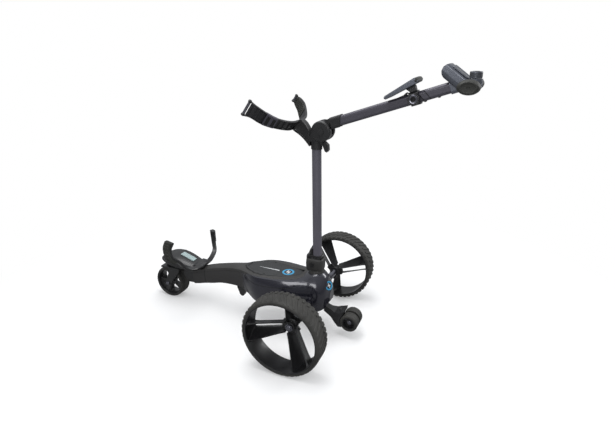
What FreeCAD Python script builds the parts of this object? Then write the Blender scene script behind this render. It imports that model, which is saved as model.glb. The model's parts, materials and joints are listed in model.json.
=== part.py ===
import FreeCAD, Part
import Sketcher
import math
import os
from FreeCAD import Placement, Rotation, Vector

# Electric golf trolley, millimetres.
# Frame: +X is the direction of travel, +Y the left side, +Z up.
# Origin: on the floor, below the middle of the trolley's overall length and width.
# Shapes are laid out from the rear axle; each sub-part's Placement carries them to that origin.

os.makedirs("parts", exist_ok=True)
doc = FreeCAD.newDocument("ElectricGolfTrolley")

DRIVING_SIZES = {
    "rear_axle_reach": -123.0,
    "wheel_radius": 145.0,
    "wheel_width": 75.0,
    "wheel_track": 562.0,
    "tyre_depth": 13.0,
    "rim_wall": 4.0,
    "hub_radius": 21.0,
    "hub_inner_face": 205.0,
    "hub_outer_face": 236.0,
    "spoke_thickness": 3.0,
    "axle_radius": 8.0,
    "front_wheel_radius": 71.0,
    "front_wheel_width": 57.0,
    "front_wheel_reach": 694.0,
    "kingpin_reach": 704.0,
    "kingpin_radius": 6.0,
    "front_axle_radius": 5.0,
    "tip_wheel_radius": 34.0,
    "tip_wheel_width": 77.0,
    "tip_wheel_reach": -146.0,
    "tip_wheel_height": 70.0,
    "running_gap": 0.05,
    "panel_gap": 0.8,
    "shell_wall": 3.5,
    "hosel_reach": -4.0,
    "hosel_radius": 30.0,
    "pivot_reach": 5.0,
    "pivot_height": 283.0,
    "pivot_pin_radius": 6.0,
    "stem_reach": -8.0,
    "stem_depth": 34.0,
    "stem_breadth": 27.0,
    "stem_wall": 2.0,
    "stem_bottom": 300.0,
    "stem_top": 744.0,
    "knuckle_reach": -32.0,
    "knuckle_height": 780.0,
    "knuckle_radius": 35.0,
    "knuckle_half_width": 27.0,
    "handle_rise": 18.3,
    "handle_offset": 15.0,
    "handle_depth": 33.0,
    "handle_breadth": 28.0,
    "handle_end": 452.0,
    "grip_reach": -487.0,
    "grip_height": 935.0,
    "grip_half_depth": 32.0,
    "grip_half_height": 21.0,
    "bar_radius": 13.0,
    "bar_half_length": 88.0,
    "dial_radius": 17.5,
    "bag_tilt": 36.0,
    "yoke_thickness": 9.0,
    "strap_thickness": 2.0,
}

sheet = doc.addObject("Spreadsheet::Sheet", "Dim")
for row, (alias, size) in enumerate(DRIVING_SIZES.items(), start=1):
    sheet.set("A%d" % row, alias)
    sheet.set("B%d" % row, str(size))
    sheet.setAlias("B%d" % row, alias)
doc.recompute()

SUBPARTS = []
SIDES = (("left", 1), ("right", -1))


def size_of(alias):
    """The number a driving dimension holds now."""
    return float(sheet.get(alias))


AXLE_PLACE = Placement(Vector(size_of("rear_axle_reach"), 0, 0), Rotation())


# ---------------------------------------------------------------- helpers


def keep(feature, label):
    """Name a finished sub-part and put it on the list to be written."""
    feature.Label = label
    SUBPARTS.append(feature)
    return feature


def origin_part(body, role):
    """A plane or axis of the body's own origin."""
    return next(item for item in body.Origin.OriginFeatures if item.Role == role)


def new_sketch(body, plane, distance=None):
    """A sketch on one of the body's origin planes, moved off it by an expression."""
    sketch = body.newObject("Sketcher::SketchObject", body.Name + "_sketch")
    sketch.AttachmentSupport = (origin_part(body, plane), "")
    sketch.MapMode = "FlatFace"
    if distance:
        sketch.setExpression("AttachmentOffset.Base.z", distance)
    return sketch


def outline(sketch, corners):
    """Closed outline of straight lines; each corner is a pair of expressions."""
    start = len(sketch.Geometry)
    count = len(corners)
    places = []
    for across, along in corners:
        places.append(Vector(float(sketch.evalExpression(across)), float(sketch.evalExpression(along)), 0))
    for index in range(count):
        sketch.addGeometry(Part.LineSegment(places[index], places[(index + 1) % count]))
    for index in range(count):
        following = start + (index + 1) % count
        sketch.addConstraint(Sketcher.Constraint("Coincident", start + index, 2, following, 1))
    for index, (across, along) in enumerate(corners):
        line = start + index
        held = sketch.addConstraint(Sketcher.Constraint("DistanceX", -1, 1, line, 1, places[index].x))
        sketch.setExpression("Constraints[%d]" % held, across)
        held = sketch.addConstraint(Sketcher.Constraint("DistanceY", -1, 1, line, 1, places[index].y))
        sketch.setExpression("Constraints[%d]" % held, along)


def circle(sketch, radius, across="0", along="0"):
    """Circle whose radius and centre are expressions."""
    centre = Vector(float(sketch.evalExpression(across)), float(sketch.evalExpression(along)), 0)
    value = float(sketch.evalExpression(radius))
    index = sketch.addGeometry(Part.Circle(centre, Vector(0, 0, 1), value))
    held = sketch.addConstraint(Sketcher.Constraint("Radius", index, value))
    sketch.setExpression("Constraints[%d]" % held, radius)
    for kind, expression, number in (("DistanceX", across, centre.x), ("DistanceY", along, centre.y)):
        held = sketch.addConstraint(Sketcher.Constraint(kind, -1, 1, index, 3, number))
        if expression != "0":
            sketch.setExpression("Constraints[%d]" % held, expression)


def place(body, across="0", left="0", up="0"):
    """Bind a body's place, counted from the rear axle, to expressions."""
    body.setExpression("Placement.Base.x", across + " + Dim.rear_axle_reach")
    body.setExpression("Placement.Base.y", left)
    body.setExpression("Placement.Base.z", up)


def turned(label, corners, across="0", left="0", up="0"):
    """Body turned about its own Y axis from an outline of (radius, y) pairs."""
    body = doc.addObject("PartDesign::Body", label)
    sketch = new_sketch(body, "XY_Plane")
    outline(sketch, corners)
    revolution = body.newObject("PartDesign::Revolution", label + "_turn")
    revolution.Profile = sketch
    revolution.ReferenceAxis = (sketch, ["V_Axis"])
    revolution.Angle = 360
    place(body, across, left, up)
    return keep(body, label)


def padded(label, plane, corners, thickness, distance=None, holes=()):
    """Body padded evenly about a plane from an outline, with round holes."""
    body = doc.addObject("PartDesign::Body", label)
    sketch = new_sketch(body, plane, distance)
    outline(sketch, corners)
    for radius, across, along in holes:
        circle(sketch, radius, across, along)
    pad = body.newObject("PartDesign::Pad", label + "_pad")
    pad.Profile = sketch
    pad.setExpression("Length", thickness)
    pad.SideType = "Symmetric"
    place(body)
    return keep(body, label)


def shaped(label, shape, placement=Placement()):
    """Sub-part whose shape comes from Part's own functions."""
    feature = doc.addObject("Part::Feature", label)
    feature.Shape = shape.removeSplitter() if len(shape.Solids) == 1 else shape
    feature.Placement = AXLE_PLACE.multiply(placement).multiply(feature.Placement)
    return keep(feature, label)


def rod(radius, start, end):
    """Round bar between two points."""
    run = end - start
    return Part.makeCylinder(radius, run.Length, start, run)


def cross_rod(radius, across, up, low, high):
    """Round bar along Y at (across, up) from y = low to y = high."""
    return rod(radius, Vector(across, low, up), Vector(across, high, up))


def block(x_low, x_high, y_low, y_high, z_low, z_high):
    """Rectangular block between two corners."""
    return Part.makeBox(x_high - x_low, y_high - y_low, z_high - z_low, Vector(x_low, y_low, z_low))


def side_prism(corners, y_low, y_high):
    """Prism along Y over an outline of (x, z) pairs."""
    wire = Part.makePolygon([Vector(x, y_low, z) for x, z in corners + corners[:1]])
    return Part.Face(wire).extrude(Vector(0, y_high - y_low, 0))


def plan_prism(half_outline, z_low, z_high, grow=0.0):
    """Prism along Z over an outline that is symmetric in Y, from (x, half width) pairs."""
    first, last = half_outline[0][0], half_outline[-1][0]
    middle = (first + last) / 2
    corners = []
    for x, half in half_outline:
        outward = math.copysign(grow, x - middle) if x in (first, last) else 0.0
        corners.append((x + outward, half + grow))
    ring = [Vector(x, half, z_low) for x, half in corners]
    ring += [Vector(x, -half, z_low) for x, half in reversed(corners)]
    wire = Part.makePolygon(ring + ring[:1])
    return Part.Face(wire).extrude(Vector(0, 0, z_high - z_low))


def ribbon(sections):
    """Solid strip through sections of (centre, half width vector, half thickness vector)."""
    wires = []
    for centre, wide, thick in sections:
        ring = [centre - wide - thick, centre + wide - thick, centre + wide + thick, centre - wide + thick]
        wires.append(Part.makePolygon(ring + ring[:1]))
    return Part.makeLoft(wires, True, True)


def fused(first, *others):
    return first.fuse(list(others)).removeSplitter()


def mirrored(shape):
    """Copy of a shape on the other side of the trolley."""
    return shape.mirror(Vector(0, 0, 0), Vector(0, 1, 0))


def group(*shapes):
    return Part.makeCompound(list(shapes))


def softened(shape, radius, chosen):
    """Round the edges that a test on the edge's middle picks out."""
    edges = [edge for edge in shape.Edges if chosen(edge.CenterOfMass)]
    return shape.makeFillet(radius, edges) if edges else shape


# ---------------------------------------------------------------- body and beam

# Cross sections of the hull: x, top, shoulder half width and height,
# widest half width and height, floor half width and height.
HULL = (
    (-66, 180, 12, 176, 21, 158, 15, 140),
    (-56, 214, 20, 206, 43, 160, 33, 124),
    (-39, 245, 26, 235, 61, 160, 50, 110),
    (-10, 256, 38, 244, 71, 162, 60, 104),
    (40, 236, 60, 224, 79, 166, 64, 102),
    (95, 224, 75, 219, 89, 172, 70, 103),
    (170, 223, 83, 219, 93, 178, 77, 106),
    (232, 223, 77, 217, 85, 180, 74, 110),
    (266, 222, 60, 215, 65, 176, 54, 116),
    (294, 219, 44, 211, 47, 173, 39, 121),
    (322, 216, 33, 207, 36, 170, 30, 125),
    (360, 211, 27, 202, 30, 165, 26, 126),
    (400, 203, 25, 195, 28, 159, 24, 124),
    (440, 194, 24.5, 186, 27.5, 151, 23.5, 117),
    (480, 183, 24, 175, 27, 142, 23, 108),
    (520, 171, 23.5, 163, 26.5, 130, 22.5, 98.5),
    (545, 163, 23, 155, 26, 122, 22, 92.5),
    (560, 158, 23, 150, 26, 118, 22, 89),
)

# Battery lid seen from above: x and half width.
LID = ((52, 20), (76, 30), (130, 47), (178, 58), (212, 60), (240, 54), (284, 30), (302, 10))
PACK = ((70, 24), (130, 41), (178, 50), (212, 50), (256, 34))
DECK = (
    (36, 34),
    (60, 48),
    (91, 60),
    (150, 73),
    (212, 75),
    (246, 70),
    (275, 55),
    (310, 44),
    (354, 30),
    (572, 30),
)
DECK_SEAM = ((20, 200), (244, 200), (305, 202), (354, 193), (408, 184), (480, 165), (572, 138))


def hull_section(station, inset):
    x, top, shoulder, shoulder_up, wide, wide_up, floor, floor_up = station
    a = Vector(x, shoulder - inset, shoulder_up - inset)
    b = Vector(x, wide - inset, wide_up)
    c = Vector(x, floor - inset, floor_up + inset)
    across = [Vector(p.x, -p.y, p.z) for p in (a, b, c)]
    crown = Part.Arc(across[0], Vector(x, 0, top - inset), a).toShape()
    side = Part.BSplineCurve()
    side.interpolate([a, b, c])
    belly = Part.LineSegment(c, across[2]).toShape()
    other = Part.BSplineCurve()
    other.interpolate([across[2], across[1], across[0]])
    return Part.Wire([crown, side.toShape(), belly, other.toShape()])


def hull_solid(inset=0.0):
    stations = [list(station) for station in HULL]
    stations[0][0] += inset
    stations[-1][0] -= inset
    return Part.makeLoft([hull_section(station, inset) for station in stations], True, False)


def deck_zone(grow):
    """Space above the seam that the matt deck panel takes out of the hull."""
    above = [(x, z - grow) for x, z in DECK_SEAM] + [(572, 300), (20, 300)]
    return plan_prism(DECK, 120, 300, grow).common(side_prism(above, -120, 120))


outer_hull = hull_solid()
hull_skin = outer_hull.cut(hull_solid(size_of("shell_wall")))


def make_body():
    gap = size_of("panel_gap")
    axle = size_of("wheel_radius")
    collar_bore = Part.makeCylinder(size_of("hosel_radius") + 1, 80, Vector(size_of("hosel_reach"), 0, 190))
    bores = cross_rod(13.4, 0, axle, -120, 120)
    lid_bore = plan_prism(LID, 190, 260, gap)
    shell = hull_skin.cut(deck_zone(gap)).cut(collar_bore).cut(bores).cut(lid_bore)
    shaped("body_shell", max(shell.Solids, key=lambda solid: solid.Volume))
    deck = hull_skin.common(deck_zone(0)).cut(lid_bore).cut(collar_bore)
    shaped("deck_cover", max(deck.Solids, key=lambda solid: solid.Volume))

    spine = [(36, 109), (150, 111), (232, 115.5), (262, 121), (322, 131), (360, 132)]
    spine += [(400, 130), (440, 123), (480, 114.5), (520, 105), (550, 98)]
    spine += [(550, 110), (520, 118), (480, 128), (400, 143), (360, 146), (322, 144.5)]
    spine += [(264, 125.2), (36, 125.2)]
    padded("spine", "XZ_Plane", [(str(x), str(z)) for x, z in spine], "28")

    tray = plan_prism(PACK, 125.5, 196, 3.5).cut(plan_prism(PACK, 128, 200, 0.8))
    shaped("battery_tray", tray)

    screws = [Part.makeCylinder(4, 3, Vector(x, y, 98.4)) for x in (60, 88) for y in (-40, 40)]
    shaped("body_screws", group(*screws))


def make_drive():
    """Two gear motors in line with the axle, each with its own axle tube."""
    axle = size_of("wheel_radius")
    bore = size_of("axle_radius") + size_of("running_gap")
    motors, boxes, tubes = [], [], []
    for _, side in SIDES:
        low, high = sorted((side * 4.0, side * 36.0))
        motors.append(cross_rod(27, 0, axle, low, high))
        low, high = sorted((side * 36.2, side * 60.0))
        boxes.append(cross_rod(28, 0, axle, low, high))
        low, high = sorted((side * 61.5, side * 203.0))
        tubes.append(cross_rod(13, 0, axle, low, high).cut(cross_rod(bore, 0, axle, low, high)))
    shaped("motors", group(*motors))
    shaped("gearboxes", group(*boxes))
    shaped("axle_tubes", group(*tubes))


def make_hosel():
    """Collar on the body with a cup of two cheeks and a rear wall that carries the fold pivot."""
    reach, up = size_of("pivot_reach"), size_of("pivot_height")
    pin = size_of("pivot_pin_radius")
    collar = Part.makeCylinder(size_of("hosel_radius"), 57, Vector(size_of("hosel_reach"), 0, 202))
    cheek_profile = [(-30, 257), (-35, 272), (-35, 290), (-29, 303)]
    cheek_profile += [(20, 304), (30, 294), (31, 272), (25, 257)]
    cheeks = [side_prism(cheek_profile, low, low + 8) for low in (-24.5, 16.5)]
    wall_profile = [(-30, 254), (-35, 272), (-35, 290), (-31, 298), (-30.2, 298), (-30.2, 268), (-25, 254)]
    rear_wall = side_prism(wall_profile, -17, 17)
    hosel = fused(collar, rear_wall, *cheeks)
    hosel = hosel.cut(cross_rod(pin, reach, up, -40, 40))
    shaped("hosel", hosel)
    corners = [("0", "-28"), ("Dim.pivot_pin_radius + 4", "-28"), ("Dim.pivot_pin_radius + 4", "-24.5")]
    corners += [("Dim.pivot_pin_radius", "-24.5"), ("Dim.pivot_pin_radius", "24.5")]
    corners += [("Dim.pivot_pin_radius + 4", "24.5"), ("Dim.pivot_pin_radius + 4", "28"), ("0", "28")]
    turned("stem_pivot_pin", corners, "Dim.pivot_reach", "0", "Dim.pivot_height")


def make_battery():
    pack = plan_prism(PACK, 128.6, 210)
    shaped("battery_pack", pack)
    lid = plan_prism(LID, 210.4, 223.5)
    lid = softened(lid, 2.5, lambda p: p.z > 223.4)
    disc = Part.makeCylinder(23.7, 3, Vector(112, 7, 222.7))
    shaped("battery_lid", lid.cut(disc))
    shaped("battery_badge", Part.makeCylinder(23.5, 1.4, Vector(112, 7, 222.8)))


def make_rear_badge():
    facing = Vector(-0.86, 0.36, 0.36)
    facing.normalize()
    disc = Part.makeCylinder(17, 16, Vector(-55, 11, 201) - facing * 10, facing)
    disc = disc.cut(outer_hull)
    shaped("rear_badge", max(disc.Solids, key=lambda solid: solid.Volume))


# ---------------------------------------------------------------- front end


# Middle lines of the cradle's arms from the beam outwards, as (x, distance from the middle, z).
# Both arms share the first points; the left one ends further forward and higher than the right.
CRADLE_ROOT = ((508, 0, 187), (514, 44, 184), (527, 96, 200))
CRADLE_ARMS = (
    (1, CRADLE_ROOT + ((547, 124, 242), (561, 147, 270), (569, 147, 304), (561, 139, 332)), 18),
    (-1, CRADLE_ROOT + ((539, 113, 228), (544, 118, 256), (544, 117, 284)), 11),
)


def cradle_strip(side, path, reach, first, thickness, inward):
    """Strip along one cradle arm, moved towards the bag by inward; reach is its half width at the tip."""
    sections = []
    for index in range(first, len(path)):
        before = Vector(*path[max(index - 1, 0)])
        after = Vector(*path[min(index + 1, len(path) - 1)])
        run = after - before
        share = index / (len(path) - 1)
        wide = Vector(1, 0, 0.25) * (10 + (reach - 10) * share)
        normal = run.cross(wide)
        normal.normalize()
        centre = Vector(*path[index]) + normal * inward
        flip = [Vector(v.x, v.y * side, v.z) for v in (centre, wide, normal * (thickness / 2))]
        sections.append(tuple(flip))
    return ribbon(sections)


def make_front_end():
    kingpin = size_of("kingpin_reach")
    # Dome: side profile met by the plan outline, hollow from below.
    crown = [(530, 150), (530, 178), (560, 188), (590, 199), (620, 209), (650, 214)]
    crown += [(680, 211), (706, 202), (720, 190), (720, 150)]
    plan = ((530, 34), (560, 46), (596, 58), (640, 61), (682, 56), (706, 44), (724, 26))
    inner_crown = [(536, 140), (536, 175), (562, 183), (591, 194), (621, 204), (650, 209)]
    inner_crown += [(678, 206), (702, 198), (714, 186), (714, 140)]
    inner_plan = ((536, 30), (562, 42), (597, 53.5), (640, 56.5), (680, 51), (702, 40), (719, 23))
    dome = plan_prism(plan, 140, 240).common(side_prism(crown, -80, 80))
    hollow = plan_prism(inner_plan, 130, 240).common(side_prism(inner_crown, -80, 80))
    floor_profile = [(506, 140), (730, 140), (730, 192), (700, 188)]
    floor_profile += [(660, 179), (620, 170), (560, 161), (506, 166)]
    floor = side_prism(floor_profile, -80, 80)
    dome = dome.cut(hollow).cut(floor)
    arms = [cradle_strip(side, path, reach, 0, 13, 0).cut(hollow) for side, path, reach in CRADLE_ARMS]
    bridge = side_prism([(504, 174), (504, 187), (524, 187), (545, 187), (545, 181), (530, 174)], -30, 30)
    base = fused(dome, bridge.cut(hollow), *arms)
    beam_room = outer_hull.copy()
    beam_room.translate(Vector(0, 0, 0.6))
    base = base.cut(beam_room).cut(outer_hull).cut(label_shape(0.3))
    shaped("bag_base", max(base.Solids, key=lambda solid: solid.Volume))
    shaped("label_plate", label_shape(0.0))
    pads = []
    for side, path, reach in CRADLE_ARMS:
        thickness = reach * 0.75 - 2
        pads.append(cradle_strip(side, path, reach - 2, 3, thickness, 7 + thickness / 2))
    shaped("bag_base_pads", group(*pads))

    arm_profile = [(561.5, 92), (561.5, 154), (600, 168), (696, 176)]
    arm_profile += [(696, 159), (614, 156), (610, 120), (592, 90)]
    housing = side_prism(arm_profile, -19, 19)
    housing = housing.fuse(Part.makeCylinder(13, 22, Vector(kingpin, 0, 158)))
    bore_radius = size_of("kingpin_radius") + size_of("running_gap")
    bore = Part.makeCylinder(bore_radius, 60, Vector(kingpin, 0, 140))
    shaped("caster_housing", housing.cut(bore).removeSplitter())


def label_shape(grow):
    """Blank plate let into the top of the dome."""
    plate = Part.makeBox(66 + 2 * grow, 26 + 2 * grow, 4 + grow, Vector(-38 - grow, -13 - grow, -1 - grow))
    slope = math.degrees(math.atan2(209 - 188, 620 - 560))
    plate.Placement = Placement(Vector(598, 0, 202.0), Rotation(Vector(0, 1, 0), -slope))
    return plate


def make_caster():
    kingpin = size_of("kingpin_reach")
    reach = size_of("front_wheel_reach")
    radius = size_of("front_wheel_radius")
    inner = size_of("front_wheel_width") / 2 + 3
    crown = block(kingpin - 78, kingpin + 16, -inner - 6, inner + 6, radius * 2 + 3, radius * 2 + 10)
    pin = Part.makeCylinder(size_of("kingpin_radius"), 31, Vector(kingpin, 0, radius * 2 + 8))
    leg_profile = [(reach - 9, radius - 5), (reach + 6, radius - 9), (reach + 9, radius + 4)]
    leg_profile += [(kingpin - 30, radius * 2 + 6), (kingpin - 78, radius * 2 + 6)]
    leg_profile += [(kingpin - 76, radius * 2 - 8)]
    leg = side_prism(leg_profile, inner, inner + 6)
    tip = cross_rod(11, reach, radius, inner, inner + 6)
    axle = size_of("front_axle_radius")
    fork = fused(crown, pin, leg, tip, mirrored(leg), mirrored(tip))
    fork = fork.cut(cross_rod(axle, reach, radius, -60, 60))
    shaped("caster_fork", fork)
    shank = "Dim.front_axle_radius"
    corners = [("0", "-41.5"), ("8", "-41.5"), ("8", "-37.6"), (shank, "-37.6")]
    corners += [(shank, "37.6"), ("8", "37.6"), ("8", "41.5"), ("0", "41.5")]
    turned("front_axle", corners, "Dim.front_wheel_reach", "0", "Dim.front_wheel_radius")


def make_small_wheel(prefix, radius, width, depth, reach, hub_half, hub_radius, bore, spokes):
    """Narrow wheel: tyre, and a rim with a recessed hub and flat spokes."""
    half = "%s / 2" % width
    tyre = [("%s - %s" % (radius, depth), "-" + half), ("%s - 6" % radius, "-" + half)]
    tyre += [(radius, "-%s + 7" % half), (radius, "%s - 7" % half)]
    tyre += [("%s - 6" % radius, half), ("%s - %s" % (radius, depth), half)]
    turned(prefix + "_tyre", tyre, reach, "0", radius)
    body = doc.addObject("PartDesign::Body", prefix + "_rim")
    ring = new_sketch(body, "XY_Plane")
    rim_outer = "%s - %s" % (radius, depth)
    rim_half = "%s - 1.5" % half
    rim_low = "-" + rim_half.replace(" - ", " + ")
    rim_inner = rim_outer + " - 4"
    outline(ring, [(rim_inner, rim_low), (rim_outer, rim_low), (rim_outer, rim_half), (rim_inner, rim_half)])
    turn = body.newObject("PartDesign::Revolution", prefix + "_barrel")
    turn.Profile = ring
    turn.ReferenceAxis = (ring, ["V_Axis"])
    turn.Angle = 360
    spoke_sketch = new_sketch(body, "XY_Plane")
    foot, far = hub_radius + " - 3", rim_outer + " - 2"
    corners = [(foot, "-%s + 2" % hub_half), (far, "-%s - 1" % hub_half)]
    corners += [(far, "%s + 1" % hub_half), (foot, "%s - 2" % hub_half)]
    outline(spoke_sketch, corners)
    spoke = body.newObject("PartDesign::Pad", prefix + "_spoke")
    spoke.Profile = spoke_sketch
    spoke.Length = 11
    spoke.SideType = "Symmetric"
    doc.recompute()
    pattern = body.newObject("PartDesign::PolarPattern", prefix + "_spokes")
    pattern.Originals = [spoke]
    pattern.Axis = (origin_part(body, "Y_Axis"), [""])
    pattern.Angle = 360
    pattern.Occurrences = spokes
    body.Tip = pattern
    hub_sketch = new_sketch(body, "XY_Plane")
    hub_low = "-" + hub_half
    outline(hub_sketch, [(bore, hub_low), (hub_radius, hub_low), (hub_radius, hub_half), (bore, hub_half)])
    hub = body.newObject("PartDesign::Revolution", prefix + "_hub")
    hub.Profile = hub_sketch
    hub.ReferenceAxis = (hub_sketch, ["V_Axis"])
    hub.Angle = 360
    body.Tip = hub
    place(body, reach, "0", radius)
    keep(body, prefix + "_rim")


def make_anti_tip():
    """Roller behind the body, in two halves on one axle with the arm between."""
    reach, up = size_of("tip_wheel_reach"), size_of("tip_wheel_height")
    radius, half = size_of("tip_wheel_radius"), size_of("tip_wheel_width") / 2
    tyres, hubs = [], []
    for _, side in SIDES:
        low, high = sorted((side * 6.0, side * half))
        outer = cross_rod(radius, reach, up, low, high)
        rims = [edge for edge in outer.Edges if abs(abs(edge.CenterOfMass.y) - half) < 0.1]
        outer = outer.makeChamfer(3, rims)
        tyres.append(outer.cut(cross_rod(radius - 9, reach, up, low, high)))
        low, high = sorted((side * 6.5, side * 22.0))
        barrel = cross_rod(radius - 9, reach, up, *sorted((side * 6.5, side * (half - 2))))
        well = cross_rod(radius - 12, reach, up, *sorted((side * 18.0, side * half)))
        boss = cross_rod(10, reach, up, low, high)
        bore = cross_rod(5 + size_of("running_gap"), reach, up, -60, 60)
        hubs.append(fused(barrel.cut(well), boss).cut(bore))
    shaped("tip_tyre", group(*tyres))
    shaped("tip_hub", group(*hubs))
    profile = [(-38, 90), (-42, 114), (-62, 105), (-86, 99), (-104, 103), (-122, 109)]
    profile += [(-116, 44), (-102, 43), (-84, 57), (-60, 76)]
    fender_plan = [(-36, 13), (-68, 15), (-86, 24), (-98, 29), (-130, 29)]
    ring = [Vector(x, half_width, 40) for x, half_width in fender_plan]
    ring += [Vector(x, -half_width, 40) for x, half_width in reversed(fender_plan)]
    plan = Part.Face(Part.makePolygon(ring + ring[:1])).extrude(Vector(0, 0, 90))
    fender = side_prism(profile, -40, 40).common(plan).cut(cross_rod(radius + 3, reach, up, -60, 60))
    tongue = side_prism([(-96, 80), (-100, 108), (reach, up + 10), (reach, up - 10)], -4.5, 4.5)
    boss = cross_rod(11, reach, up, -4.5, 4.5)
    arm = fused(fender, tongue, boss).cut(cross_rod(5, reach, up, -20, 20)).cut(outer_hull)
    shaped("tip_arm", max(arm.Solids, key=lambda solid: solid.Volume))
    collars = [cross_rod(8, reach, up, *sorted((side * 22.5, side * 25.5))) for _, side in SIDES]
    shaped("tip_axle", fused(cross_rod(5, reach, up, -26, 26), *collars))


def make_foot():
    """Short rest under the front of the body."""
    profile = [(298, 121), (304, 98), (310, 87), (318, 85), (326, 92), (331, 106), (338, 124)]
    foot = side_prism(profile, 12, 30).cut(outer_hull)
    shaped("parking_foot", max(foot.Solids, key=lambda solid: solid.Volume))


# ---------------------------------------------------------------- rear wheels


def spoke_blade(turn, lean, reach, near, far):
    """One wall of a spoke: the two walls of each spoke open outwards like a trough."""
    corners_at_hub = (polar_point(15, lean * 40, 206.5), polar_point(24, lean * 50, 240))
    corners_at_rim = (polar_point(reach, lean * 4.5, near), polar_point(reach, lean * 15.6, far))
    sections = []
    for inner, outer in (corners_at_hub, corners_at_rim):
        wide = (outer - inner) / 2
        thick = wide.cross(Vector(1, 0, 0))
        thick.normalize()
        sections.append((inner + wide, wide, thick * (size_of("spoke_thickness") / 2)))
    blade = ribbon(sections)
    blade.rotate(Vector(0, 0, 0), Vector(0, 1, 0), -turn)
    return blade


def polar_point(radius, angle, left):
    """Point at a radius and an angle (degrees, from +X towards +Z) about the Y axis."""
    turn = math.radians(angle)
    return Vector(radius * math.cos(turn), left, radius * math.sin(turn))


def make_rear_wheel(name, side):
    """Deep-dished driving wheel; its hub sits far inboard of the rim."""
    radius = size_of("wheel_radius")
    rim_outer = radius - size_of("tyre_depth")
    rim_inner = rim_outer - size_of("rim_wall")
    middle = size_of("wheel_track") / 2
    half = size_of("wheel_width") / 2
    near, far = middle - half + 1.5, middle + half - 1.5
    hub_in, hub_out = size_of("hub_inner_face"), size_of("hub_outer_face")
    inner_edge = "%d * (Dim.wheel_track / 2 - Dim.wheel_width / 2)" % side
    outer_edge = "%d * (Dim.wheel_track / 2 + Dim.wheel_width / 2)" % side
    tyre = [("Dim.wheel_radius - Dim.tyre_depth", inner_edge), ("Dim.wheel_radius - 6", inner_edge)]
    tyre += [("Dim.wheel_radius", inner_edge + " + %d" % (7 * side))]
    tyre += [("Dim.wheel_radius", outer_edge + " - %d" % (7 * side))]
    tyre += [("Dim.wheel_radius - 6", outer_edge), ("Dim.wheel_radius - Dim.tyre_depth", outer_edge)]
    turned("tyre_" + name, tyre, "0", "0", "Dim.wheel_radius")

    barrel = cross_rod(rim_outer, 0, 0, near, far).cut(cross_rod(rim_inner, 0, 0, near, far))
    hub = cross_rod(size_of("hub_radius"), 0, 0, hub_in, hub_out)
    first_pair = -4.5 if side > 0 else 168.0
    blades = []
    for index in range(3):
        for lean in (-1, 1):
            blades.append(spoke_blade(first_pair + 120 * index, lean, rim_inner + 2.5, near + 2, far - 9))
    bore = cross_rod(size_of("axle_radius") + 0.02, 0, 0, hub_in - 1, 230)
    cap_seat = cross_rod(15.0, 0, 0, 224, hub_out + 20)
    envelope = cross_rod(rim_outer, 0, 0, hub_in, far)
    rim = fused(barrel, hub, *blades).common(envelope).cut(bore).cut(cap_seat)
    if side < 0:
        rim = mirrored(rim)
    at_axle = Placement(Vector(0, 0, radius), Rotation())
    shaped("rim_" + name, rim, at_axle)
    cap = (("10", 225), ("14.8", 225), ("14.8", 240), ("13", 243), ("10", 243))
    axle = (("0", 62), ("Dim.axle_radius", 62), ("Dim.axle_radius", 223), ("0", 223))
    button = (("0", 230), ("9.9", 230), ("9.9", 245), ("8", 246.5), ("0", 246.5))
    for label, corners in (("hub_cap_", cap), ("axle_", axle), ("release_", button)):
        turned(label + name, [(r, "%s" % (side * y)) for r, y in corners], "0", "0", "Dim.wheel_radius")


# ---------------------------------------------------------------- stem


# Pin of the stem latch on the stem's foot.
LATCH_REACH = 25.5
LATCH_HEIGHT = 310.0


def oval(centre, deep, broad, z_low, z_high):
    """Upright tube-shaped solid, oval in plan."""
    ellipse = Part.Ellipse(Vector(centre, 0, z_low), deep / 2, broad / 2)
    return Part.Face(Part.Wire(ellipse.toShape())).extrude(Vector(0, 0, z_high - z_low))


def make_stem():
    centre = size_of("stem_reach")
    deep, broad, wall = size_of("stem_depth"), size_of("stem_breadth"), size_of("stem_wall")
    low, high = size_of("stem_bottom"), size_of("stem_top")
    reach, up = size_of("pivot_reach"), size_of("pivot_height")
    pin = size_of("pivot_pin_radius") + size_of("running_gap")
    tube = oval(centre, deep, broad, low, high)
    tube = tube.cut(oval(centre, deep - 2 * wall, broad - 2 * wall, low, high))
    shaped("stem_tube", tube)

    # Foot: a rounded lug on the pivot, a collar round the tube and two ears for the latch.
    lug = cross_rod(20, reach, up, -15.8, 15.8)
    throat = side_prism([(-22, 284), (24, 286), (14, 306), (-25, 306)], -15.8, 15.8)
    collar = oval(centre, deep + 5, broad + 4.4, 296, 316)
    ear_profile = [(4, 296), (30, 303), (30, 315), (4, 316)]
    ears = [side_prism(ear_profile, low, low + 3) for low in (-13.5, 10.5)]
    tongue = side_prism([(8, 306), (14, 306), (17, 322), (15, 338), (8.5, 342)], -9, 9)
    foot = fused(lug, throat, collar, tongue, *ears)
    tube_seat = oval(centre, deep + 0.2, broad + 0.2, low - 0.2, 360)
    latch_bore = cross_rod(2 + size_of("running_gap"), LATCH_REACH, LATCH_HEIGHT, -20, 20)
    foot = foot.cut(tube_seat).cut(cross_rod(pin, reach, up, -20, 20)).cut(latch_bore)
    shaped("stem_foot", foot)
    lever_profile = [(21, 316), (29, 317), (32.5, 300), (31, 285)]
    lever_profile += [(27.6, 281.5), (26.4, 290), (25.5, 300), (20, 308)]
    lever = side_prism(lever_profile, -10, 10)
    lever = lever.fuse(cross_rod(2, LATCH_REACH, LATCH_HEIGHT, -14, 14)).removeSplitter()
    shaped("stem_latch", lever)


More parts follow.
